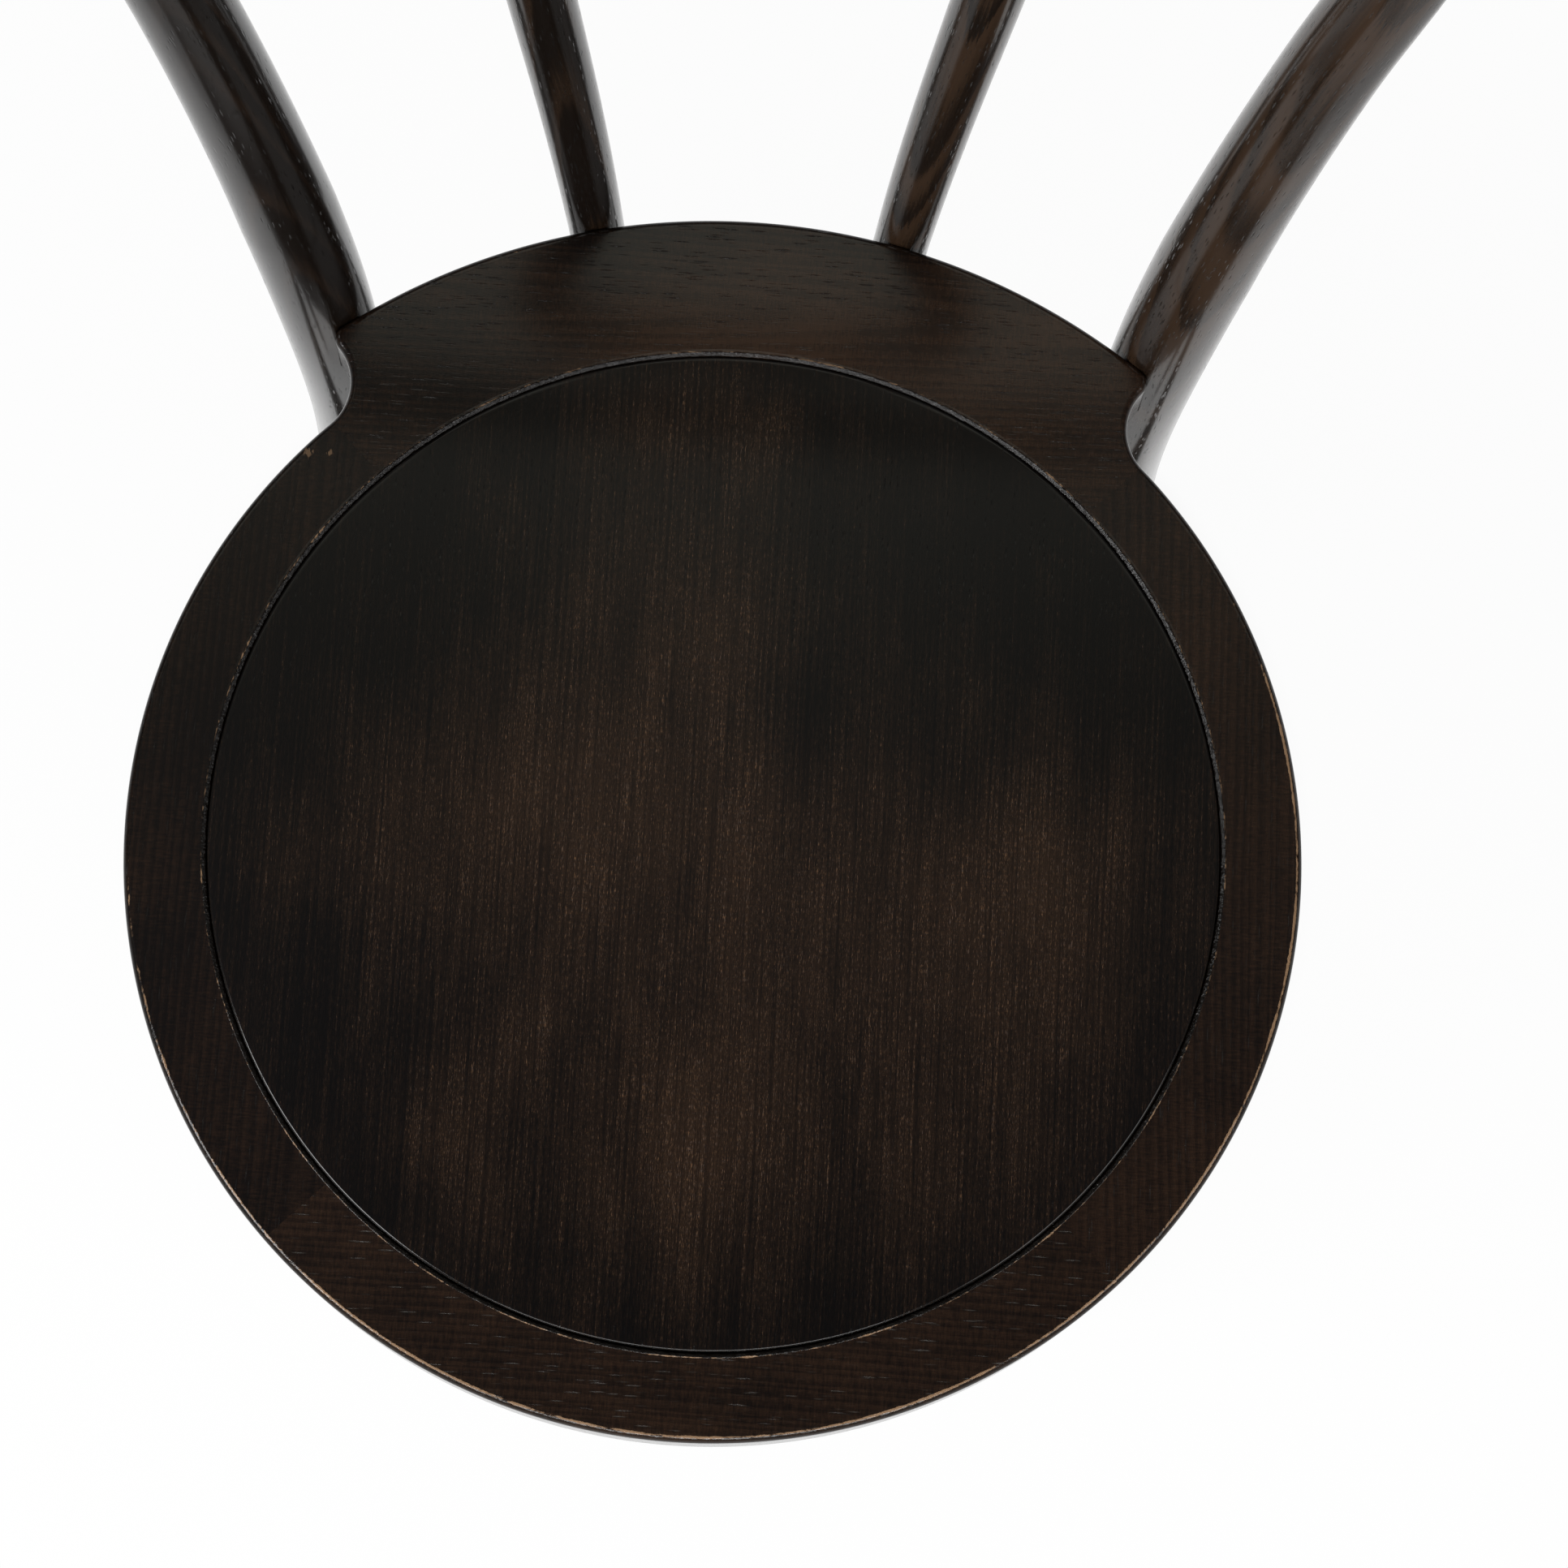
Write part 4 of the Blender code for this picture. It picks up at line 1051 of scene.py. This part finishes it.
def build_panel(material):
    """The veneered disc, with a round corner above its chamfer."""
    top = PANEL_RADIUS - PANEL_CHAMFER
    profile = [
        (PANEL_CAP, PANEL_BOTTOM),
        (PANEL_RADIUS / 2, PANEL_BOTTOM),
        (PANEL_RADIUS, PANEL_BOTTOM),
        (PANEL_RADIUS, RIM_TOP - PANEL_CHAMFER),
    ]
    middle = top - PANEL_ROUND * tan(pi / 8)
    for bend in np.linspace(pi / 4, 0.0, PANEL_ROUND_STEPS):
        drop = PANEL_ROUND * (1 - cos(bend))
        profile.append((middle + PANEL_ROUND * sin(bend), RIM_TOP - drop))
    profile.append((top - PANEL_STRIP, RIM_TOP))
    profile += [(PANEL_RADIUS * share, RIM_TOP) for share in np.linspace(*PANEL_SPAN, PANEL_RINGS)]
    panel = turned("seat_panel_fine", profile, Matrix.Identity(4), PANEL_SIDES)
    grain_straight(panel, FRONT_TO_BACK, PANEL_PITH)
    x, y, z = points_of(panel).T
    worn = smooth(*PANEL_WORN_WIDTH, np.abs(np.hypot(x, y) - top)) * smooth(*PANEL_WORN_DROP, RIM_TOP - z)
    store(panel, "edge", WORN_PANEL * worn)
    store(panel, "tone", mottle(panel, PANEL_TONE, PANEL_PATCHES))
    finish_piece(panel, material, "panel_veneer", "seat_panel")


def rim_blank():
    """The rim's outer shape with clearance, which the rods are cut back to."""
    points, normals, _ = seat_outline()
    outline = points + normals * GAP
    levels = (RIM_BOTTOM - GAP, RIM_TOP + GAP)
    return skin("rim_blank", [np.insert(outline, 2, z, axis=1) for z in levels])


def ring_rings(grow, start, turns):
    """Rings of points round the leg ring's rod, which may be grown all round."""
    centre, radius = ring_circle()
    sides = full_turn(ROD_SIDES)[:, None]
    up = np.array([0.0, 0.0, 1.0])
    rings = []
    for turn in np.linspace(start, start + turns, RING_STEPS):
        out = np.array([*polar(turn), 0.0])
        middle = np.array([*centre, RING_HEIGHT]) + out * radius
        rings.append(middle + (out * np.cos(sides) + up * np.sin(sides)) * (RING_ROD_RADIUS + grow))
    return np.array(rings)


def ring_groove():
    """The ring with clearance, which the legs are cut back to."""
    rings = ring_rings(GAP, 0.0, 2 * pi)
    return skin("ring_groove", rings[:-1], joined=True)


def build_ring(material, screw_holes):
    """The bent ring. Its glued ends meet where the right rear leg hides them."""
    centre, radius = ring_circle()
    rear = through(bow_knots(), RING_HEIGHT)
    start = atan2(rear[1] - centre[1], rear[0])
    seam = GAP / radius
    ring = skin("leg_ring_fine", ring_rings(0.0, start + seam / 2, 2 * pi - seam))
    cut(ring, *screw_holes)
    points = points_of(ring)
    offset = points[:, :2] - centre
    turn = (np.arctan2(offset[:, 1], offset[:, 0]) - start) % (2 * pi)
    across = np.hypot(*offset.T) - radius + RING_PITH[0]
    behind = points[:, 2] - RING_HEIGHT + RING_PITH[1]
    store(ring, "grain", np.stack([across, behind, turn * radius], axis=1))
    finish_piece(ring, material, "bent_wood", "leg_ring")


def build_bow(material):
    """The bow, let into the rim and the ring, with a recess for each bolt's washer."""
    line = rod_line(bow_knots(), BOW_RISE, BOW_STEPS)
    bow = rod("back_bow_fine", line, bow_radius)
    cut(bow, rim_blank(), ring_groove())
    for word in SIDES:
        start, ahead, _, _ = axis_of("seat_bolt_" + word)
        depth = (box_middle("bolt_washer_" + word) - start).dot(ahead) + RECESS_PAST_WASHER
        profile = [(RECESS_RADIUS, -RECESS_MOUTH), (RECESS_RADIUS, depth)]
        cut(bow, turned("recess", profile, along(start, ahead)))
    grain_on_line(bow, line, BOW_PITH)
    points = points_of(bow)
    # Painted shade on the bow's left half and painted light on its right half
    store(bow, "tone", tone_with_side_light(points, **BOW_TONE_AND_SIDE_LIGHT))
    store(bow, "open", BOW_OPEN * smooth(BOW_OPEN_REACH, -BOW_OPEN_REACH, points[:, 0]))
    finish_piece(bow, material, "bent_wood", "back_bow")


def build_hoop(material, screw_holes):
    """The hoop, let into the rim, with the holes of its screws."""
    line = rod_line(hoop_knots(), HOOP_RISE, HOOP_STEPS)
    hoop = rod("inner_hoop_fine", line, hoop_radius)
    cut(hoop, rim_blank(), *screw_holes)
    grain_on_line(hoop, line, HOOP_PITH)
    # Painted shade on the hoop's left half and painted light on its right half
    store(hoop, "tone", tone_with_side_light(points_of(hoop), **HOOP_TONE_AND_SIDE_LIGHT))
    finish_piece(hoop, material, "bent_wood", "inner_hoop")


def build_legs(material):
    """The front legs with round feet, let into the ring."""
    turns = full_turn(ROD_SIDES)
    circle = np.stack([np.cos(turns), np.sin(turns), np.zeros(ROD_SIDES)], axis=1)
    heights = np.linspace(FOOT_LEVEL + FOOT_ROUND, RIM_BOTTOM - GAP, LEG_STEPS)
    sections = [(leg_radius(FOOT_LEVEL) - inset, FOOT_LEVEL + height) for inset, height in FOOT_EASE]
    sections += [(leg_radius(z), z) for z in heights]
    for word, side in SIDES.items():
        rings = [leg_axis(side, z) + circle * radius for radius, z in sections]
        name = "front_leg_" + word
        leg = skin(name + "_fine", rings)
        cut(leg, ring_groove())
        points = points_of(leg)
        grain = points - np.array([[*leg_axis(side, z)[:2], 0.0] for z in points[:, 2]])
        across, behind, ahead = LEG_PITH
        store(leg, "grain", grain + np.array([across * side, behind, ahead * side]))
        # Painted shade on the left leg and painted light on the right one, as on the bent rods
        store(leg, "tone", np.full(len(points), LEG_SIDE_LIGHT * side))
        finish_piece(leg, material, "bent_wood", name)


def build_bolts(material):
    """Domed bolt heads with a hexagonal socket, on round washers."""
    bends = np.linspace(BOLT_DOME_START, pi / 2, DOME_STEPS)
    half = WASHER_THICK / 2
    soft = WASHER_RADIUS - WASHER_SOFT
    for word in SIDES:
        node = "seat_bolt_" + word
        start, ahead, length, radius = axis_of(node)
        place = along(start, ahead)
        shaft = radius * BOLT_SHAFT
        profile = [(radius * sin(a), BOLT_DOME * (1 - cos(a))) for a in bends]
        profile += [(radius, BOLT_HEAD_HEIGHT), (shaft, BOLT_HEAD_HEIGHT), (shaft, length)]
        bolt = turned(node + "_fine", profile, place)
        socket = [(SOCKET_RADIUS, -SOCKET_MOUTH), (SOCKET_RADIUS, SOCKET_DEPTH)]
        cut(bolt, turned("key", socket, place, sides=6))
        finish_piece(bolt, material, "zinc_steel", node)
        node = "bolt_washer_" + word
        upper = [(WASHER_RADIUS, half - WASHER_SOFT), (soft, half), (shaft + GAP, half)]
        profile = [(r, -z) for r, z in reversed(upper)] + upper
        washer = turned(node + "_fine", profile, along(box_middle(node), ahead), joined=True)
        finish_piece(washer, material, "zinc_steel", node)


def build_glides(material):
    """Glides with a round lower edge and a pin that goes up into the foot."""
    curve = [(1 - sin(a), 1 - cos(a)) for a in np.linspace(0.0, pi / 2, GLIDE_STEPS)]
    for end in ("front", "rear"):
        for word in SIDES:
            node = f"foot_glide_{end}_{word}"
            low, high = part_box(node)
            middle = box_middle(node)
            radius = (high.x - low.x) / 2
            profile = [(radius - GLIDE_EDGE * inset, GLIDE_EDGE * height) for inset, height in curve]
            profile += [(radius, GLIDE_HEIGHT - GLIDE_SOFT), (radius - GLIDE_SOFT, GLIDE_HEIGHT)]
            profile += [(GLIDE_PIN_RADIUS, GLIDE_HEIGHT), (GLIDE_PIN_RADIUS, high.z)]
            glide = turned(node + "_fine", profile, Matrix.Translation((middle.x, middle.y, 0.0)))
            finish_piece(glide, material, "glide_plastic", node)


def build_chair():
    """All pieces, and looks for the solids that stay as they are inside the wood."""
    bent, solid, veneer = (wood(name) for name in WOODS)
    metal = steel()
    holes = {}
    for node in sorted(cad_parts):
        if "_screw_" in node:
            holes[node] = slotted_screw(node, metal)
    segments = build_rim()
    finish_rim(segments, solid, holes)
    build_panel(veneer)
    build_bow(bent)
    build_hoop(bent, [holes["hoop_screw_" + word] for word in SIDES])
    build_ring(bent, [hole for node, hole in holes.items() if node.startswith("ring_screw")])
    build_legs(bent)
    build_bolts(metal)
    build_glides(plastic())
    hidden = {"rim_spline": bare_wood(), "barrel_nut": metal}
    for name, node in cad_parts.items():
        for start, material in hidden.items():
            if name.startswith(start):
                node.data.materials.clear()
                node.data.materials.append(material)


# Studio


def build_floor():
    """A floor with a painted pool of light, white round the chair and pale grey far from it. To the
    camera and in reflections it mostly glows, but least under the chair, so that the shadow shows."""
    points = [(x * FLOOR_HALF, y * FLOOR_HALF, 0) for x, y in CORNERS]
    floor = make_object("studio_floor", points, [(0, 1, 2, 3)])
    t = Tree(bpy.data.materials.new("white_floor"))
    place = t.vector("SUBTRACT", t.add("TexCoord", {}, "Object"), tuple(PANEL_CENTRE))
    # Painted pool of light: the floor's colour and glow go from white to grey past these edges
    near = 1.0
    for axis, start, end in LIGHT_POOL_EDGES:
        near = t.ramp(t.add("SeparateXYZ", {"Vector": place}, axis), start, end, 1.0, 0.0) * near
    t.surface({"Base Color": t.mix(near, FLOOR_DIM_PAINT, FLOOR_LIT_PAINT), "Roughness": 0.9, "IOR": 1.2})
    rays = (t.add("LightPath", {}, ray) for ray in ("Is Camera Ray", "Is Glossy Ray"))
    under = t.vector("DISTANCE", place, SHADOW_PLACE, "Value")
    share = t.sum("MAXIMUM", *rays) * t.ramp(under, *SHADOW_EDGE, *SHADOW_GLOW)
    glow = t.add("Emission", {"Color": t.mix(near, FLOOR_DIM_PAINT, (1.0, 1.0, 1.0)), "Strength": 1.0})
    paint = Value(t, t.nodes["Principled BSDF"].outputs[0])
    mixed = t.add("MixShader", {0: share, 1: paint, 2: glow})
    t.fill(t.nodes["Material Output"], {"Surface": mixed})
    floor.data.materials.append(t.owner)


def build_world():
    """A grey room, dim overhead and behind. High behind the chair are a wide glow, a narrow one in the
    middle and a faint one on the left, and the light there is a little warmer.

    Numbers in a ramp are where a direction starts and ends, and then the strength at both."""
    t = Tree(bpy.data.worlds.new("studio"))
    toward = t.add("TexCoord", {}, "Generated")
    x, y, z = (t.add("SeparateXYZ", {"Vector": toward}, axis) for axis in "XYZ")
    aside = t.sum("ABSOLUTE", x)
    high = t.ramp(z, 0.6, 0.9)
    wall = t.ramp(z, 0.05, 0.60, 0.22, 0.050) * t.ramp(y, -0.4, 0.5, 1.0, 0.7)
    glow = t.ramp(y, 0.05, 0.30, 0.0, 0.07) + t.ramp(y, 0.26, 0.34, 0.0, 0.55)
    glow *= t.ramp(aside, 0.05, 0.45, 1.0, 0.7)
    middle = t.ramp(aside, 0.0, 0.10, 1.0, 0.0) * t.ramp(y, 0.12, 0.29, 0.0, 0.08)
    middle *= t.ramp(y, 0.30, 0.36, 1.0, 0.2)
    left = t.ramp(x, -0.17, -0.06, 0.03, 0.0)
    blue = t.ramp(y, 0.12, 0.28, 0.20, -0.12) * high + 1.0
    tint = t.add("CombineColor", {"Red": 1.0, "Green": 1.0, "Blue": blue})
    strength = wall + (glow + middle + left) * high
    t.fill(t.nodes["Background"], {"Strength": strength, "Color": tint})
    bpy.context.scene.world = t.owner


def build_lamps():
    """Soft lamps in front of the seat. The front one isn't seen in reflections, because the rods would
    show it by way of the seat. The low one is seen only there, so that the bevels shine."""
    seat = Vector((0.0, 0.0, SEAT_HEIGHT))
    for name, (place, size, power, blind_rays) in LAMPS.items():
        light = bpy.data.lights.new(name, "AREA")
        light.shape = "RECTANGLE"
        light.size, light.size_y = size
        light.energy = power
        lamp = add_object(name, light)
        lamp.location = place
        lamp.rotation_euler = (seat - Vector(place)).to_track_quat("-Z", "Y").to_euler()
        for ray in ["visible_camera", *blind_rays]:
            setattr(lamp, ray, False)


def build_camera():
    """The camera above and in front of the seat."""
    height, forward, aside = 1.324534, 0.257606, 0.002882
    pitch, yaw, roll = 1.362831, 0.069736, 0.123128
    lens, sensor = 91.313, 36.0
    ahead = Vector((sin(yaw) * cos(pitch), cos(yaw) * cos(pitch), -sin(pitch)))
    level = Vector((cos(yaw), -sin(yaw), 0.0))
    upright = level.cross(ahead)
    right = level * cos(roll) + upright * sin(roll)
    up = upright * cos(roll) - level * sin(roll)
    data = bpy.data.cameras.new("camera")
    data.sensor_width, data.lens = sensor, lens
    camera = add_object("camera", data)
    turn = Matrix((right, up, -ahead)).transposed().to_4x4()
    place = PANEL_CENTRE + Vector((aside, -forward, SEAT_HEIGHT + height))
    camera.matrix_world = Matrix.Translation(place) @ turn
    bpy.context.scene.camera = camera


build_chair()
build_floor()
build_world()
build_lamps()
build_camera()
bpy.context.scene.view_settings.view_transform = "Standard"
